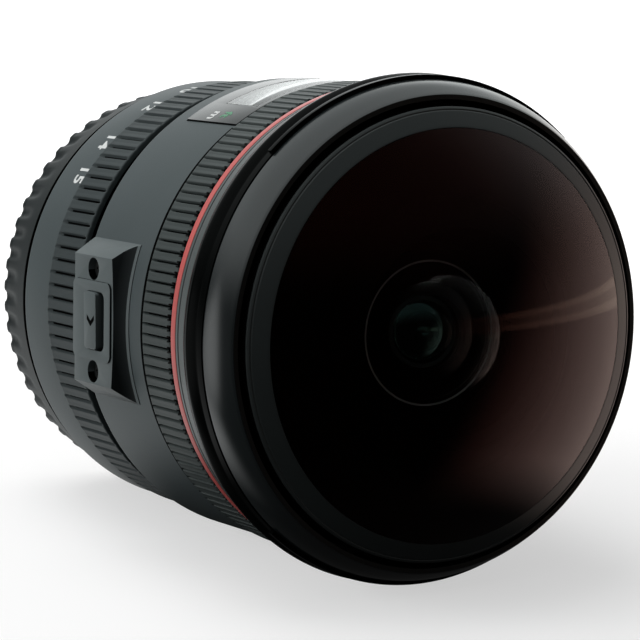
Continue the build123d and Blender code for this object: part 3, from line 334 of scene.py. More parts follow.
# Bare and plated metals: they mirror the room in their own colour.
screw_steel = finish("turned steel", "#B9B9B6", "#A9A9A6", 0.1, 0.28, 0.06, 0.1, Metallic=1.0)
dark_steel = finish("blackened steel", "#2A2B2B", "#333434", 0.1, 0.36, 0.06, 0.1, Metallic=1.0)
mount_metal = finish("satin chrome on brass", "#C9C7C1", "#BEBCB6", 0.08, 0.26, 0.05, 0.12, Metallic=1.0)
gold_plate = finish("electroplated gold", "#E0B560", "#D2A54E", 0.1, 0.22, 0.04, 0.05, Metallic=1.0)
cam_brass = finish("machined brass", "#C9A55A", "#B8934A", 0.1, 0.3, 0.06, 0.1, Metallic=1.0)

# Ink and paint in engravings: flat colour, a little duller than what it lies on.
scale_print = finish("printed black scale", "#101212", "#151717", 0.3, 0.45, 0.05, 0.05)
white_print = finish("white paint in the engraving", "#C9CCCB", "#C0C3C2", 0.1, 0.5, 0.04, 0.05)
green_print = finish("green paint in the engraving", "#4C8A66", "#45805E", 0.1, 0.5, 0.04, 0.05)
print("finishes made:", len(bpy.data.materials))

# %% [markdown]
# The front glass is coated: a thin film takes most of the reflection away and leaves a dark red one. The
# shader's specular tint does that at right angles, and at the rim of the dome the reflection grows as it does
# on real glass. The ground edge of a lens is blacked, so it gets the dead matt paint. Polished glass is all
# but free of haze; the little that there is changes over about a centimetre.

# %% Glass
HAZE_SCALE = 90.0  # patches about 11 mm wide
MOST_HAZE = 0.001


def clear(name, code, ior, tint):
    """Coated glass: the tint is the colour of its reflection when seen straight on."""
    material = bpy.data.materials.new(name)
    material.use_nodes = True
    tree = material.node_tree
    shader = tree.nodes["Principled BSDF"]
    where = add(tree, "ShaderNodeTexCoord")
    haze = add(tree, "ShaderNodeTexNoise", sockets={"Vector": where.outputs["Object"], "Scale": HAZE_SCALE})
    rough = add(tree, "ShaderNodeMapRange", sockets={
        "Value": haze.outputs["Fac"], "To Min": 0.0, "To Max": MOST_HAZE})
    tree.links.new(rough.outputs[0], shader.inputs["Roughness"])
    shader.inputs["Base Color"].default_value = linear(code)
    shader.inputs["Transmission Weight"].default_value = 1.0
    shader.inputs["IOR"].default_value = ior
    shader.inputs["Specular Tint"].default_value = linear(tint)
    return material


front_glass = clear("coated front glass", "#F0EAE8", 1.9, "#6A342C")
front_glass_rear = clear("coated rear face of the front glass", "#F0EAE8", 1.9, "#0C1414")
second_glass = clear("coated second glass", "#D8E4E2", 1.6, "#222C2C")
third_glass = clear("coated third glass", "#8A9896", 1.8, "#C8FFFF")
# The inner glass is coloured dark: painted shade, so that no light shows through the throat.
inner_glass_darkened_as_shade = clear("coated inner glass, darkened as painted shade", "#1C2220", 1.6, "#5A9A98")
window_acrylic = clear("polished clear acrylic", "#F6F8F7", 1.49, "#FFFFFF")

# %% [markdown]
# Rear barrel: 58 scallops give the hand a hold when the lens is turned onto the camera. One slice between two
# crests is enough; its radius drops in a shallow arc and rises again, and the arc fades out towards the front.
# The gasket behind it has the same scallops. Here and below, a thin black ring is painted shade in the gap of a
# joint.

# %% Rear barrel
SCALLOPS = 58
GRIP_RADIUS = 34.1
HOLLOW_RADIUS, HOLLOW_LIFT = 1.5, 0.95  # the arc of one hollow, and how far its centre lies above the crests
GRIP_START, GRIP_LENGTH = 1.75, 9.25
START_RADIUS, FLARE = 33.25, 1.65  # the grip widens by this much towards the front
DEPTH_AT = ((1.75, 1), (2.4, 1), (3.2, 1), (4.2, 0.85), (5.2, 0.55), (6.2, 0.25), (7.2, 0.06), (8.0, 0),
            (9.5, 0), (11.0, 0))


def scallop(share):
    across = (share - 0.5) * 2 * pi * GRIP_RADIUS / SCALLOPS
    return max(0.0, sqrt(max(0.0, HOLLOW_RADIUS ** 2 - across ** 2)) - HOLLOW_LIFT)


def rear_outline(share):
    dip = scallop(share)
    outer = [(START_RADIUS + FLARE * (station - GRIP_START) / GRIP_LENGTH - dip * depth, station)
             for station, depth in DEPTH_AT]
    return [(24.2, 1.72), (32.6, 1.72), *outer, (34.3, 11.12), (34.3, 12.4), (31.25, 12.4), (31.25, 4.9), (24.2, 4.9)]


def seal_outline(share):
    dip = scallop(share)
    return [(32.45, 0.25), (32.95 - dip, 0.25), (33.15 - dip, 0.5), (33.22 - dip, 1.7), (32.45, 1.7)]


rear_barrel = around(sector("rear_barrel_shell", SCALLOPS, 10, rear_outline), SCALLOPS, rear_paint_darker_as_shade, join=True)
seat(rear_barrel, "root", "black_barrel", "rear_barrel")
gasket = around(sector("mount_seal", SCALLOPS, 10, seal_outline), SCALLOPS, rear_paint_darker_as_shade, join=True)
seat(gasket, "root", "black_rubber", "mount_gasket")
# A black ring: painted shade in the gap between the rear barrel and the zoom ring.
rear_joint_shade = lathe("rear_joint_painted_shade", [
    (34.2, 10.98), (34.91, 10.98), (34.91, 11.25), (34.4, 11.3), (34.4, 12.38), (34.2, 12.38)])
rear_joint_shade.data.materials.append(matt_black_and_painted_shade)
seat(rear_joint_shade, "root", "black_barrel")

# %% [markdown]
# The zoom ring is a plain band that carries its numbers, and a rubber sleeve. The sleeve's ribs are wide and
# flat, and the narrow grooves between them fade out before both ends, so again one slice is enough. The focus
# sleeve has finer ribs, and its grooves open into notches at the front. Little light reaches the floor of a
# groove, so black rings lie there.

# %% Zoom ring and its ribbed sleeve
zoom_band = lathe("zoom_band", [
    (33.4, 12.7, 0.1), (35.45, 12.7, 0.35), (35.45, 21.4, 0.12), (34.8, 21.4), (34.8, 31.2), (33.4, 31.2)])
zoom_band.data.materials.append(barrel_paint)
seat(zoom_band, "zoom_ring", "black_barrel", "zoom_ring")

ZOOM_RIBS, FOCUS_RIBS = 108, 144
END_EDGE, END_STEP = 0.22, 0.06  # the rounded end of a sleeve, and the step in its middle
CROWN = 0.05  # how far the top of a rib is bowed
NOTCH_LENGTH, NOTCH_RAMP, NOTCH_SLOPE = 0.75, 0.12, 0.12
SHALLOW = 0.1  # what is left of a groove's depth where it has faded out
FADE_STEP = 0.35  # a fade has one corner, at this share of its length and depth
LEAST_STEP = 0.02


def ribbed(name, count, bore, crest, depth, rear, front, groove, slope, fade, notch, material):
    """A ribbed sleeve; groove and slope are shares of the pitch, fade is the length in which a groove ends.

    With a notch the grooves stay open at the front end and widen there to that share of the pitch."""

    def low_at(off, width, run):
        turn = max(0.0, min(1.0, (width + run - off) / run))
        return (0.5 - 0.5 * cos(pi * turn)) * depth

    def outline(share):
        off = abs(share - 0.5) * 2
        crown = CROWN * off ** 2
        low = low_at(off, groove, slope) + crown
        wide = low_at(off, notch, NOTCH_SLOPE) + crown if notch else low * SHALLOW
        start = rear + END_EDGE + fade
        end = front - END_EDGE - (NOTCH_LENGTH if notch else fade)
        corner = (crest - low * FADE_STEP, end + fade * (1 - FADE_STEP))
        if notch:
            corner = (crest - wide, end + NOTCH_RAMP)
        return [
            (bore, rear), (crest - END_EDGE, rear), (crest - END_STEP, rear + END_EDGE / 2), (crest, rear + END_EDGE),
            (crest - low * FADE_STEP, rear + END_EDGE + fade * FADE_STEP), (crest - low, start),
            (crest - low, (start + end) / 2), (crest - low, end), corner,
            (crest - wide, front - END_EDGE), (crest - wide - END_STEP, front - END_EDGE / 2),
            (min(crest - END_EDGE, crest - wide - LEAST_STEP), front), (bore, front)]

    return around(sector(name, count, 16, outline), count, material, join=True, smooth=50)


zoom_sleeve = ribbed("zoom_sleeve", ZOOM_RIBS, 34.8, 35.8, 0.6, 21.4, 31.2, 0.06, 0.34, 1.0, 0, grip_rubber)
seat(zoom_sleeve, "zoom_ring", "black_rubber", "zoom_grip")
focus_sleeve = ribbed("focus_sleeve", FOCUS_RIBS, 36.3, 37.3, 0.7, 55.9, 64.65, 0.04, 0.3, 0.6, 0.5, focus_rubber)
seat(focus_sleeve, "focus_ring", "black_rubber", "focus_grip")
for line_name, body, radius, rear, front in (
    ("zoom_groove_floor", "zoom_ring", 35.32, 22.6, 30.0), ("focus_groove_floor", "focus_ring", 36.74, 56.9, 63.6),
    ("focus_notch_floor", "focus_ring", 36.95, 63.6, 64.6),
):
    floor_ring = lathe(line_name, [(radius - 0.4, rear), (radius, rear), (radius, front), (radius - 0.4, front)])
    floor_ring.data.materials.append(matt_black_and_painted_shade)
    seat(floor_ring, body, "black_rubber")

# %% [markdown]
# Numbers on the rings are printed with the baseline towards the mount, so they read upright from behind the
# camera. Text is made flat, turned into mesh, and then bent round the ring: its x becomes an angle.

# %% Printed numbers
PRINT_HEIGHT = 0.03
BOLDER = 0.02  # each stroke is widened by this share of the letter size


def printed(name, words, size, material):
    """Text bent round the axis; words are (text, angle, radius, station of its baseline)."""
    build = bmesh.new()
    for text, angle, radius, station in words:
        letters = bpy.data.curves.new("letters", "FONT")
        letters.body = text
        letters.size = size
        letters.align_x = "CENTER"
        letters.extrude = PRINT_HEIGHT
        letters.offset = size * BOLDER
        letters.resolution_u = 4
        flat = new_object("letters", letters)
        graph = bpy.context.evaluated_depsgraph_get()
        mesh = bpy.data.meshes.new_from_object(flat.evaluated_get(graph))
        first = len(build.verts)
        build.from_mesh(mesh)
        build.verts.ensure_lookup_table()
        for vertex in build.verts[first:]:
            x, y, z = vertex.co
            vertex.co = place(radius + z, station + y, angle + degrees(x / radius))
        bpy.data.objects.remove(flat)
    bmesh.ops.remove_doubles(build, verts=build.verts, dist=SAME_POINT)
    bmesh.ops.recalc_face_normals(build, faces=build.faces)
    mesh = bpy.data.meshes.new(name)
    build.to_mesh(mesh)
    build.free()
    mesh.materials.append(material)
    return new_object(name, mesh)


zoom_numbers = printed("zoom_numbers", [
    ("8", 90, 35.45, 18.3), ("10", 103, 35.45, 18.3), ("12", 115, 35.45, 18.3), ("14", 131.5, 35.45, 18.3),
    ("15", 143, 35.45, 18.2)], 3.8, white_print)
seat(zoom_numbers, "zoom_ring", "black_barrel")

# %% [markdown]
# The barrel shell is fixed. A recessed groove lies behind its shoulder, and the distance window is cut in its
# top. A Boolean with a curved block takes the same opening out of the shell and out of the dark frame plate.
# A black seam shows round the plate, and the clear pane lies flush in the opening.

# %% Barrel shell, window frame and window


def cut_out(cutter, *pieces):
    """Takes the cutter's volume out of the pieces, and then the cutter away."""
    for piece in pieces:
        cut = piece.modifiers.new("window", "BOOLEAN")
        cut.object = cutter
        cut.solver = "EXACT"
        settle(piece, SMOOTH_BELOW)
    bpy.data.objects.remove(cutter)


shell = lathe("middle_barrel", [
    (33.4, 31.5), (34.6, 31.5, 0.15), (34.6, 35.5, 0.12), (36.6, 35.5, 0.3), (36.9, 36.0, 0.3), (36.9, 55.6, 0.15),
    (35.1, 55.6), (35.1, 37.0), (33.4, 37.0)], segments=360)
shell.data.materials.append(barrel_paint)
plate = lathe("window_plate", [
    (36.85, 40.0), (37.15, 40.0, 0.08), (37.15, 55.4, 0.08), (36.85, 55.4)], start=57, span=66, segments=360)
plate.data.materials.append(frame_plate)
opening = lathe("cutter", [(34, 44.5), (38, 44.5), (38, 54.0), (34, 54.0)], start=65, span=50, segments=360)
cut_out(opening, shell, plate)
seam = lathe("window_seam", [
    (36.85, 39.85), (36.97, 39.85), (36.97, 55.55), (36.85, 55.55)], start=56.75, span=66.5, segments=360)
seam.data.materials.append(matt_black_and_painted_shade)
under_plate = lathe("cutter", [(34, 40.3), (38, 40.3), (38, 55.1), (34, 55.1)], start=57.5, span=65, segments=360)
cut_out(under_plate, seam)
seat(seam, "root", "dark_frame")
seat(shell, "root", "black_barrel", "barrel_shell")
# Three black rings: painted shade in the joints at the focus and zoom rings and in the shell's groove.
focus_joint_shade = lathe("focus_joint_painted_shade", [
    (36.8, 54.75), (36.92, 54.75), (36.92, 55.58), (36.8, 55.58)], start=124, span=292, segments=360)
focus_joint_shade.data.materials.append(matt_black_and_painted_shade)
seat(focus_joint_shade, "root", "black_barrel")
zoom_joint_shade = lathe("zoom_joint_painted_shade", [(33.5, 31.2), (34.95, 31.2), (34.95, 31.3), (33.5, 31.3)])
zoom_joint_shade.data.materials.append(matt_black_and_painted_shade)
seat(zoom_joint_shade, "zoom_ring", "black_rubber")
shell_groove_shade = lathe("shell_groove_painted_shade", [(34.5, 31.6), (34.62, 31.6), (34.62, 33.2), (34.5, 33.2)])
shell_groove_shade.data.materials.append(matt_black_and_painted_shade)
seat(shell_groove_shade, "root", "black_barrel")
seat(plate, "root", "dark_frame", "window_frame")
pane = lathe("window_pane", [
    (35.9, 44.55), (37.14, 44.55, 0.05), (37.14, 53.95, 0.05), (35.9, 53.95)], start=65.1, span=49.8, segments=360)
pane.data.materials.append(window_acrylic)
seat(pane, "root", "clear_window", "distance_window")

units_white = printed("unit_metres", [("m", 120.5, 37.15, 45.2)], 3.0, white_print)
seat(units_white, "root", "dark_frame")
units_green = printed("unit_feet", [("ft", 119.8, 37.15, 48.4)], 3.0, green_print)
seat(units_green, "root", "dark_frame")

# %% [markdown]
# Under the window the distance scale turns with the focus drive. Its numbers are metres in white and feet in
# green, spaced as a fisheye's short focus throw has them.

# %% Distance scale
scale_numbers = printed("scale_metres", [
    ("0.2", 133, 34.8, 48.2), ("0.3", 118, 34.8, 48.2), ("0.5", 104, 34.8, 48.2), ("1", 94, 34.8, 48.2),
    ("∞", 82, 34.8, 48.2)], 2.6, white_print)
seat(scale_numbers, "focus_drive", "scale_black")
scale_feet = printed("scale_feet", [
    ("0.7", 133, 34.8, 44.2), ("1", 118, 34.8, 44.2), ("1.5", 104, 34.8, 44.2), ("3", 94, 34.8, 44.2)],
    2.6, green_print)
seat(scale_feet, "focus_drive", "scale_black")

# %% [markdown]
# The switch panels, the mount and the parts in the throat have flat faces and few curves, so a copy of the
# solid serves: its loose triangles are merged, and a Bevel breaks the edges.

# %% Bevelled copies of solids
SHARP_FROM = 35  # degrees: the Bevel breaks edges that are steeper than this
FLAT_BELOW = 0.6  # degrees: triangles that differ less lie on one face
SAME_CORNER = 1e-6  # metres


def bevelled(node, name, width, material, slot, body="root", segments=2):
    build = bmesh.new()
    build.from_mesh(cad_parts[node].data)
    bmesh.ops.remove_doubles(build, verts=build.verts, dist=SAME_CORNER)
    bmesh.ops.dissolve_limit(build, angle_limit=radians(FLAT_BELOW), verts=build.verts, edges=build.edges)
    mesh = bpy.data.meshes.new(name)
    build.to_mesh(mesh)
    build.free()
    mesh.materials.clear()
    mesh.materials.append(material)
    made = new_object(name, mesh)
    edge = made.modifiers.new("edge", "BEVEL")
    edge.width = width * MM
    edge.segments = segments
    edge.limit_method = "ANGLE"
    edge.angle_limit = radians(SHARP_FROM)
    edge.use_clamp_overlap = True
    settle(made, SMOOTH_BELOW)
    return seat(made, body, slot, node)


# %% [markdown]
# On the switch panels the insides of the screw holes and of the slider's slot are painted black: painted shade. The
# hollow that falls away to the front has the texture of the mould and a darker colour than the top: painted shade
# too.

# %% Switch panels
SCREW_STATION, SCREW_HEIGHT, SCREW_REACH = 42.2, 8.0, 1.8
SLOT_REAR, SLOT_FRONT, SLOT_HALF = 40.1, 46.3, 4.8
TOP_SKIN = 0.8  # faces deeper below the top than this are inside a hole
HOLLOW_REAR = 47.0
WALL_TILT = 0.5  # a face whose normal points less than this to the side is a wall
HOLLOW_TILT = -0.3  # the faces of the hollow point forward by more than this

for node, name in (("limit_panel", "side_panel_left"), ("mode_panel", "side_panel_right")):
    panel = bevelled(node, name, 0.4, panel_plastic, "black_plastic", segments=3)
    panel.data.materials.append(matt_black_and_painted_shade)
    panel.data.materials.append(panel_hollow_painted_shade)
    low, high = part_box(node)
    for face in panel.data.polygons:
        middle = face.center / MM
        station, height = -middle.y, abs(middle.z)
        in_screw = hypot(station - SCREW_STATION, height - SCREW_HEIGHT) < SCREW_REACH
        in_slot = SLOT_REAR < station < SLOT_FRONT and height < SLOT_HALF
        depth = max(abs(low.x), abs(high.x)) / MM - abs(middle.x)
        if (in_screw or in_slot) and (depth > TOP_SKIN or abs(face.normal.x) < WALL_TILT):
            # painted shade: black inside the screw holes and the slot
            face.material_index = 1
        elif face.normal.y < HOLLOW_TILT and station > HOLLOW_REAR:
            # painted shade: the forward-facing hollow is darker
            face.material_index = 2

# %% [markdown]
# A slider is a block with its four upright corners rounded wide and its other edges broken a little. Its mark
# is an arrow-shaped inlay.

# %% Sliders and their marks
ARROW = ((-1.15, 0.75), (0.0, -0.25), (1.15, 0.75), (1.15, 1.5), (0.0, 0.55), (-1.15, 1.5))
ARROW_MIDDLE = 0.6  # of the arrow's height, brought to the slider's middle
ARROW_STATION = 42.6
ARROW_FOOT, ARROW_TOP = -0.1, 0.02


def chevron(name, angle, node):
    """A small arrow-shaped mark in the top of a slider."""
    turn = radians(angle)
    outwards = Vector((cos(turn), 0, sin(turn)))
    upwards = Vector((-sin(turn), 0, cos(turn))) * (1 if cos(turn) > 0 else -1)
    low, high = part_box(node)
    top = max(abs(low.x), abs(high.x)) + ARROW_TOP * MM
    centre = outwards * top + Vector((0, -ARROW_STATION * MM, 0))
    build = bmesh.new()
    rings = []
    for lift in (ARROW_FOOT, ARROW_TOP):
        rings.append([build.verts.new(
            centre + outwards * lift * MM + Vector((0, -across * MM, 0)) + upwards * (rise - ARROW_MIDDLE) * MM)
            for across, rise in ARROW])
    for one in range(len(ARROW)):
        two = (one + 1) % len(ARROW)
        build.faces.new((rings[0][one], rings[0][two], rings[1][two], rings[1][one]))
    build.faces.new(rings[1])
    build.faces.new(rings[0][::-1])
    bmesh.ops.recalc_face_normals(build, faces=build.faces)
    mesh = bpy.data.meshes.new(name)
    build.to_mesh(mesh)
    build.free()
    mesh.materials.append(matt_black_and_painted_shade)
    return new_object(name, mesh)


def slider(name, node):
    """A block as large as the solid, with rounded corners and broken edges."""
    low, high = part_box(node)
    build = bmesh.new()
    bmesh.ops.create_cube(build, size=1.0)
    for vertex in build.verts:
        vertex.co = Vector([(low[i] + high[i]) / 2 + vertex.co[i] * (high[i] - low[i]) for i in range(3)])
    mesh = bpy.data.meshes.new(name)
    build.to_mesh(mesh)
    build.free()
    mesh.materials.append(panel_plastic)
    weights = mesh.attributes.new("bevel_weight_edge", "FLOAT", "EDGE")
    for line in mesh.edges:
        one, two = (mesh.vertices[i].co for i in line.vertices)
        weights.data[line.index].value = 1.0 if abs((one - two).x) > SAME_CORNER else 0.0
    made = new_object(name, mesh)
    for width, segments, chosen_by in ((0.6, 4, "WEIGHT"), (0.15, 2, "ANGLE")):
        edge = made.modifiers.new("edge", "BEVEL")
        edge.width, edge.segments, edge.limit_method = width * MM, segments, chosen_by
        edge.angle_limit = radians(SHARP_FROM)
    return settle(made, 40)


for side_name, panel_angle in (("limit", 179), ("mode", 1)):
    body = f"{side_name}_slider"
    seat(slider(f"{side_name}_knob", body), body, "black_plastic", body)
    seat(chevron(f"{side_name}_mark", panel_angle, body), body, "black_plastic")

# %% [markdown]
# The mount and the parts in the throat are copies of their solids with broken edges too.

# %% Mount and throat
bevelled("mount_ring", "bayonet", 0.1, mount_metal, "plated_brass_mount")
bevelled("contact_block", "contact_carrier", 0.12, inner_plastic, "black_plastic")
bevelled("filter_holder", "gel_holder", 0.1, inner_plastic, "black_plastic")

# %% [markdown]
# The front end is four turned rings. The red ring and the grey band have tight edges, the hood ring swells and
# falls back to the land with its two bayonet lugs, and the front rim curves in to the edge of the glass. The
# tube of the grey band runs on inside the hood ring and the rim, where it is black.

# %% Red ring, grey band, hood ring and front rim
BLACK_FROM = 70.2  # station

red = lathe("red_band", [
    (35.1, 64.95), (37.35, 64.95, 0.12), (37.35, 66.28, 0.08), (36.3, 66.28), (36.3, 66.55), (35.1, 66.55)],
    segments=360)
red.data.materials.append(red_enamel)
seat(red, "root", "red_enamel", "red_ring")
front_tube = lathe("grey_band", [
    (31.5, 66.55), (36.3, 66.55), (36.3, 66.33), (37.3, 66.33, 0.08), (37.42, 67.15, 0.04), (37.2, 67.25, 0.03),
    (37.2, 67.4, 0.03), (37.46, 67.5, 0.04), (37.85, 69.6, 0.1), (37.85, 69.95), (36.3, 69.95), (36.3, 81.85),
    (35.6, 81.85), (35.6, 67.95), (31.5, 67.95)], segments=360)
front_tube.data.materials.append(grey_band)
front_tube.data.materials.append(satin_black)
for face in front_tube.data.polygons:
    if -face.center.y > BLACK_FROM * MM:
        face.material_index = 1
seat(front_tube, "root", "dark_aluminium", "front_barrel")


def swell(start, end, height, steps=10):
    """Points on a bowed run between two corners."""
    run = [(1 - step / steps, step / steps) for step in range(1, steps)]
    return [(start[0] * a + end[0] * b + height * sin(pi * b), start[1] * a + end[1] * b) for a, b in run]


hood_corners = [(36.3, 69.98), (37.86, 69.98, 0.06), *swell((37.86, 69.98), (39.25, 73.0), 0.28), (39.25, 73.0)]
hood_corners += [*swell((39.25, 73.0), (38.6, 74.85), 0.06, 5), (38.6, 74.85, 0.15), (38.6, 76.4, 0.12), (36.3, 76.4)]
hood = lathe("hood_band", hood_corners, segments=360)
hood.data.materials.append(gloss_paint)
seat(hood, "root", "gloss_black", "hood_ring")
lug = lathe("hood_lug", [
    (38.5, 75.35), (39.1, 75.35, 0.12), (39.1, 76.42, 0.12), (38.5, 76.42)], start=-43, span=86, segments=360)
around(lug, 2, gloss_paint, first=90)
seat(lug, "root", "gloss_black")
rim_corners = [(36.3, 76.48), (38.45, 76.48, 0.12), *swell((38.45, 76.48), (36.6, 81.5), 0.36, 14), (36.6, 81.5, 0.1)]
rim_corners += [(36.35, 81.83, 0.05), (36.3, 81.83)]
rim = lathe("front_rim_shell", rim_corners, segments=360)
rim.data.materials.append(rim_paint)
seat(rim, "root", "gloss_black", "front_rim")

# %% [markdown]
# The glass is held by a satin ring with a fine step near its outer edge. The dome in it is a true sphere cap of 60 mm
# radius, hollow behind, so the second element and its ring look smaller through it. A light grey edge on that ring
# and a light grey lip on the focus cell are painted highlights: the two light circles deep inside.

# %% Retaining rings and front elements
LENS_STEPS = 28
LENS_SMOOTH = 24  # degrees, so that only the rim of a lens is sharp
AT_EDGE = 0.02  # a face this near to a lens's edge belongs to it

retainer = lathe("glass_ring", [
    (31.5, 82.25), (34.6, 82.25), (34.6, 82.6, 0.08), (34.25, 82.85, 0.05), (34.1, 82.78, 0.04), (33.95, 82.98, 0.05),
    (31.85, 83.98, 0.1), (31.5, 84.13, 0.06)], segments=360)
retainer.data.materials.append(ring_satin)
seat(retainer, "front_group", "satin_black", "front_retainer")


def fall(radius, height):
    """How far a sphere has dropped at a height from the axis."""
    return radius - sqrt(radius ** 2 - height ** 2)


def lens(name, front, rear, vertex, thickness, edge, rear_edge, material, rear_material, blacked):
    """A turned lens, hollow behind: a cap in front, one behind that is black from a radius on, and a black edge."""
    heights = [edge * step / LENS_STEPS for step in range(LENS_STEPS + 1)]
    rear_heights = [rear_edge * step / LENS_STEPS for step in range(LENS_STEPS, -1, -1)]
    back = vertex - thickness
    shoulder = back - fall(rear, rear_edge)
    outline = [(height, vertex - fall(front, height)) for height in heights]
    outline += [(edge, shoulder)]
    outline += [(height, back - fall(rear, height)) for height in rear_heights]
    made = lathe(name, outline, segments=192, smooth=LENS_SMOOTH)
    for own_material in (material, matt_black_and_painted_shade, rear_material):
        made.data.materials.append(own_material)
    for face in made.data.polygons:
        middle = face.center
        radius, station = hypot(middle.x, middle.z) / MM, -middle.y / MM
        on_shoulder = radius > rear_edge - AT_EDGE and abs(station - shoulder) < AT_EDGE
        if radius > edge - AT_EDGE or on_shoulder:
            face.material_index = 1
        elif face.normal.y > 0:
            face.material_index = 1 if radius > blacked else 2
    return made


dome = lens("front_dome", 60.0, 21.0, 93.0461, 3.7, 31.45, 19.0, front_glass, front_glass_rear, 15.5)
seat(dome, "front_group", "coated_glass", "element_1")
second = lens("second_element", 34.0, 12.5, 78.0461, 2.2, 16.95, 11.5, second_glass, second_glass, 17.0)
seat(second, "front_group", "coated_glass", "element_2")
second_low, second_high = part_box("second_retainer")
print("second ring from station", -second_high.y / MM, "to", -second_low.y / MM)
lip = lathe("focus_cell_lip", [
    (10.6, 63.7), (12.5, 63.7), (12.5, 64.3, 0.1), (10.9, 64.3, 0.2), (10.6, 64.0, 0.1)], segments=192)
# A light grey lip: painted highlight, the smaller light circle.
lip.data.materials.append(lip_painted_highlight)
seat(lip, "focus_group", "satin_black")
edge_station = -second_low.y / MM
edge_line = lathe("second_ring_edge", [
    (14.78, edge_station - 0.5), (15.05, edge_station - 0.5), (15.05, edge_station + 0.04, 0.04),
    (14.78, edge_station + 0.04, 0.04)])
# A light grey edge: painted highlight, the larger light circle.
edge_line.data.materials.append(edge_painted_highlight)
seat(edge_line, "front_group", "satin_black")

# %% [markdown]
# Solids that are right as they are keep their mesh and only get their finish.

# %% Finishes of the other solids
FINISHES = {
    "mount_screws": screw_steel, "mount_dot": red_enamel, "contact_pins": gold_plate,
    "circuit_board": board_green, "guide_barrel": satin_black, "cam_barrel": cam_brass, "distance_scale": scale_print,
    "panel_screws": satin_black, "focus_ring": satin_black, "front_cell": matt_black_and_painted_shade, "second_retainer": matt_black_and_painted_shade,
    "front_follower_pins": screw_steel, "rear_follower_pins": screw_steel, "focus_cell": matt_black_and_painted_shade,
    "motor_stator": screw_steel, "motor_rotor": screw_steel, "rear_spacers": matt_black_and_painted_shade, "rear_cell": matt_black_and_painted_shade,
    "aperture_base": matt_black_and_painted_shade, "aperture_cover": matt_black_and_painted_shade, "aperture_ring": satin_black,
}
for node_name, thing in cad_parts.items():
    if node_name.startswith("aperture_blade"):
        FINISHES[node_name] = dark_steel
    elif node_name.startswith(("element", "doublet")) and node_name not in ("element_1", "element_2"):
        FINISHES[node_name] = third_glass if node_name == "element_3" else inner_glass_darkened_as_shade
    if node_name in FINISHES:
        thing.data.materials.clear()
        thing.data.materials.append(FINISHES[node_name])
print("finishes given to", len(FINISHES), "solids")

# %% [markdown]
# The lens stands on its hood ring and on its rear barrel, so the floor leans a little against the lens's own axis.
# The floor glows white for the camera; the lamps cast a real shadow on its matt part, and the glow is lower right
# under the lens, which is a painted shadow. Matt surfaces get a soft light back from it, more behind the lens than in
# front. Gloss mirrors it as dark close by, a painted shadow, and looks through it farther off, so that the rings
# mirror the room and not a white sheet.

# %% Floor
FLOOR_REACH = 12  # metres to each side

front_foot, rear_foot = Vector((0, -0.073, -0.03925)), Vector((0, -0.002, -0.0328))
along = (front_foot - rear_foot).normalized()
floor_mesh = bpy.data.meshes.new("floor")
side = Vector((1, 0, 0))
middle = (front_foot + rear_foot) / 2
corners = [middle + side * x * FLOOR_REACH + along * y * FLOOR_REACH for x, y in ((-1, -1), (1, -1), (1, 1), (-1, 1))]
floor_mesh.from_pydata(corners, [], [(0, 1, 2, 3)])
floor = new_object("floor", floor_mesh)
if floor_mesh.polygons[0].normal.z < 0:
    floor_mesh.flip_normals()
floor_paint = bpy.data.materials.new("white studio floor")
floor_paint.use_nodes = True
floor_tree = floor_paint.node_tree
floor_tree.nodes.clear()
paths = add(floor_tree, "ShaderNodeLightPath")
spot = add(floor_tree, "ShaderNodeTexCoord")
reach = add(floor_tree, "ShaderNodeVectorMath", {"operation": "DISTANCE"}, {
    0: spot.outputs["Object"], 1: (0.0, -0.06, -0.04)})
# painted shadow: the camera sees the floor's glow lower near the lens
camera_glow_with_painted_shadow = add(floor_tree, "ShaderNodeMapRange", {"interpolation_type": "SMOOTHSTEP"}, {
    "Value": reach.outputs["Value"], "From Min": 0.05, "From Max": 0.3, "To Min": 0.56, "To Max": 0.96})
for_matt = add(floor_tree, "ShaderNodeMapRange", {"interpolation_type": "SMOOTHSTEP"}, {
    "Value": reach.outputs["Value"], "From Min": 0.04, "From Max": 0.12, "To Min": 0.0, "To Max": 0.7})
spot_parts = add(floor_tree, "ShaderNodeSeparateXYZ", sockets={0: spot.outputs["Object"]})
behind_lens = add(floor_tree, "ShaderNodeMapRange", {"interpolation_type": "SMOOTHSTEP"}, {
    "Value": spot_parts.outputs["Y"], "From Min": -0.12, "From Max": 0.05, "To Min": 0.03})
dim_power = add(floor_tree, "ShaderNodeMath", {"operation": "MULTIPLY"}, {
    0: for_matt.outputs[0], 1: behind_lens.outputs[0]})
dim = add(floor_tree, "ShaderNodeEmission", sockets={"Color": (1, 1, 1, 1), "Strength": dim_power.outputs[0]})
matt = add(floor_tree, "ShaderNodeBsdfDiffuse", sockets={"Color": linear("#B0B0B0")})
glow = add(floor_tree, "ShaderNodeEmission", sockets={"Color": (1, 1, 1, 1), "Strength": camera_glow_with_painted_shadow.outputs[0]})
both = add(floor_tree, "ShaderNodeAddShader", sockets={0: matt.outputs[0], 1: glow.outputs[0]})
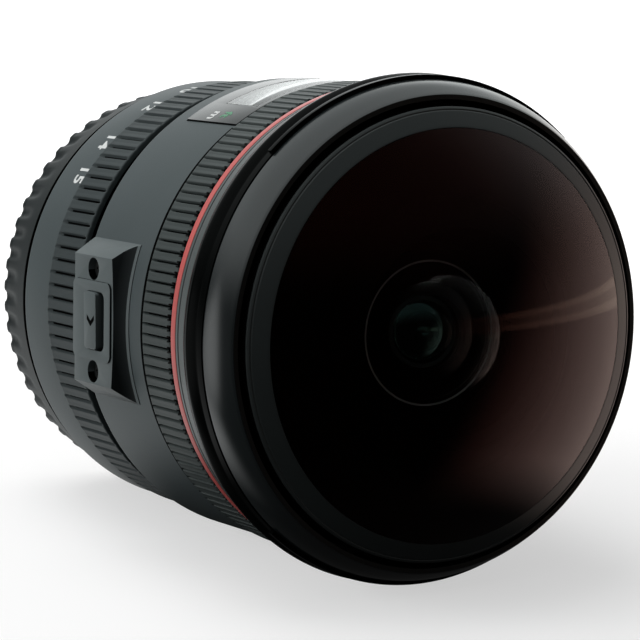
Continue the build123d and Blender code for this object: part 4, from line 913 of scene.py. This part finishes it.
# painted shadow: gloss sees the floor close to the lens as dark
dark = add(floor_tree, "ShaderNodeEmission", sockets={"Color": (1, 1, 1, 1), "Strength": 0.02})
gone = add(floor_tree, "ShaderNodeBsdfTransparent")
far_off = add(floor_tree, "ShaderNodeMapRange", {"interpolation_type": "SMOOTHSTEP"}, {
    "Value": reach.outputs["Value"], "From Min": 0.035, "From Max": 0.065})
mirror = add(floor_tree, "ShaderNodeMixShader", sockets={
    0: far_off.outputs[0], 1: dark.outputs[0], 2: gone.outputs[0]})
bounced = add(floor_tree, "ShaderNodeMixShader", sockets={
    0: paths.outputs["Is Glossy Ray"], 1: dim.outputs[0], 2: mirror.outputs[0]})
shown = add(floor_tree, "ShaderNodeMixShader", sockets={
    0: paths.outputs["Is Camera Ray"], 1: bounced.outputs[0], 2: both.outputs[0]})
add(floor_tree, "ShaderNodeOutputMaterial", sockets={0: shown.outputs[0]})
floor.data.materials.append(floor_paint)

# %% [markdown]
# The camera stands in front and to the left of the lens, a little above it, with a long focal length, as for a
# catalogue picture.

# %% Camera
camera_data = bpy.data.cameras.new("camera")
camera_data.lens = 179.0
camera_data.sensor_width = 36.0
camera_data.clip_start = 0.01
camera_data.clip_end = 60.0
camera = bpy.data.objects.new("camera", camera_data)
bpy.context.scene.collection.objects.link(camera)
azimuth, elevation = radians(-31.81), radians(7.14)
back = Vector((sin(azimuth) * cos(elevation), -cos(azimuth) * cos(elevation), sin(elevation)))
right = Vector((cos(azimuth), sin(azimuth), 0))
up = back.cross(right)
camera.matrix_world = Matrix.Translation((-0.2665, -0.4767, 0.0620)) @ Matrix((right, up, back)).transposed().to_4x4()
bpy.context.scene.camera = camera

# %% [markdown]
# Light: a wide soft lamp above and a smaller one to the left and behind, both unseen by gloss, and a world with
# three faces. The camera sees plain white. Matt surfaces see a soft light that comes from the upper left and
# behind. Gloss and glass see a glow overhead, which is darker towards the front as in a studio where the camera
# stands in the dark, a few large soft lights, and brown bands just below the horizon on the right, which make the
# streak in the dome.

# %% Lamps and world


def lamp(name, where, target, width, height, power):
    data = bpy.data.lights.new(name, "AREA")
    data.shape = "RECTANGLE"
    data.size, data.size_y, data.energy = width, height, power
    made = bpy.data.objects.new(name, data)
    bpy.context.scene.collection.objects.link(made)
    made.location = where
    made.visible_glossy = False
    made.rotation_euler = (Vector(target) - Vector(where)).to_track_quat("-Z", "Y").to_euler()
    return made


lamp("top", (-0.15, 0.15, 0.95), (0, -0.045, 0), 0.7, 0.7, 5.0)
lamp("left", (-0.88, 0.42, 0.22), (0, -0.05, 0), 0.4, 0.6, 4.5)
world = bpy.data.worlds.new("studio")
bpy.context.scene.world = world
world.use_nodes = True
sky = world.node_tree
sky.nodes.clear()
ways = add(sky, "ShaderNodeLightPath")
direction = add(sky, "ShaderNodeTexCoord")
parts = add(sky, "ShaderNodeSeparateXYZ", sockets={0: direction.outputs["Generated"]})


def lobe(towards, start, end, tint, power):
    """Light from about one direction, seen by reflections only."""
    near = add(sky, "ShaderNodeVectorMath", {"operation": "DOT_PRODUCT"}, {
        0: direction.outputs["Generated"], 1: Vector(towards).normalized()})
    share = add(sky, "ShaderNodeMapRange", {"interpolation_type": "SMOOTHSTEP"}, {
        "Value": near.outputs["Value"], "From Min": start, "From Max": end, "To Min": 0.0, "To Max": power})
    return add(sky, "ShaderNodeVectorMath", {"operation": "SCALE"}, {0: tint, 3: share.outputs[0]})


top_glow = add(sky, "ShaderNodeMapRange", {"interpolation_type": "SMOOTHSTEP"}, {
    "Value": parts.outputs["Z"], "From Min": 0.1, "From Max": 0.6, "To Min": 0.03, "To Max": 0.75})
front_fade = add(sky, "ShaderNodeMapRange", {"interpolation_type": "SMOOTHSTEP"}, {
    "Value": parts.outputs["Y"], "From Min": -0.75, "From Max": 0.1, "To Min": 0.25, "To Max": 1.0})
top_part = add(sky, "ShaderNodeMath", {"operation": "MULTIPLY"}, {0: top_glow.outputs[0], 1: front_fade.outputs[0]})
total = add(sky, "ShaderNodeVectorMath", {"operation": "SCALE"}, {0: (0.94, 1.0, 1.0), 3: top_part.outputs[0]})
sideways = add(sky, "ShaderNodeMapRange", {"interpolation_type": "SMOOTHSTEP"}, {
    "Value": parts.outputs["X"], "From Min": 0.3, "From Max": 0.9})
COOL, WARM, BROWN = (0.97, 1.0, 1.0), (1.0, 0.78, 0.7), (1.0, 0.85, 0.65)
lights = [
    lobe((0.93, 0.1, -0.42), 0.5, 1.0, WARM, 0.85),
    lobe((0.52, 0.84, 0.13), 0.8, 1.0, COOL, 1.2),
    lobe((-0.88, 0.45, -0.1), 0.92, 0.995, COOL, 1.0),
    lobe((-0.2, 0.8, -0.55), 0.7, 1.0, COOL, 1.0),
]
for height, half, power_of in ((-0.05, 0.045, 0.22), (-0.025, 0.015, 0.25), (-0.075, 0.015, 0.25)):
    above = add(sky, "ShaderNodeMath", {"operation": "SUBTRACT"}, {0: parts.outputs["Z"], 1: height})
    apart = add(sky, "ShaderNodeMath", {"operation": "ABSOLUTE"}, {0: above.outputs[0]})
    sill = add(sky, "ShaderNodeMapRange", {"interpolation_type": "SMOOTHSTEP"}, {
        "Value": apart.outputs[0], "From Min": half, "From Max": half / 2, "To Min": 0.0, "To Max": power_of})
    part = add(sky, "ShaderNodeMath", {"operation": "MULTIPLY"}, {0: sill.outputs[0], 1: sideways.outputs[0]})
    lights.append(add(sky, "ShaderNodeVectorMath", {"operation": "SCALE"}, {0: BROWN, 3: part.outputs[0]}))
for piece in lights:
    total = add(sky, "ShaderNodeVectorMath", {"operation": "ADD"}, {0: total.outputs[0], 1: piece.outputs[0]})
inside = add(sky, "ShaderNodeMapRange", sockets={
    "Value": ways.outputs["Is Transmission Ray"], "To Min": 1.0, "To Max": 0.8})
total = add(sky, "ShaderNodeVectorMath", {"operation": "SCALE"}, {0: total.outputs[0], 3: inside.outputs[0]})
soft = add(sky, "ShaderNodeVectorMath", {"operation": "DOT_PRODUCT"}, {
    0: direction.outputs["Generated"], 1: Vector((-0.65, 0.6, 0.45)).normalized()})
soft_light = add(sky, "ShaderNodeMapRange", {"interpolation_type": "SMOOTHSTEP"}, {
    "Value": soft.outputs["Value"], "From Min": -0.15, "From Max": 0.9, "To Min": 0.04, "To Max": 0.95})
even = add(sky, "ShaderNodeMix", {"data_type": "RGBA"}, {
    0: ways.outputs["Is Glossy Ray"], 6: soft_light.outputs[0], 7: total.outputs[0]})
colour = add(sky, "ShaderNodeMix", {"data_type": "RGBA"}, {
    0: ways.outputs["Is Camera Ray"], 6: even.outputs[2], 7: (1, 1, 1, 1)})
light = add(sky, "ShaderNodeBackground", sockets={"Color": colour.outputs[2], "Strength": 1.0})
add(sky, "ShaderNodeOutputWorld", sockets={0: light.outputs[0]})
bpy.context.scene.view_settings.view_transform = "Standard"
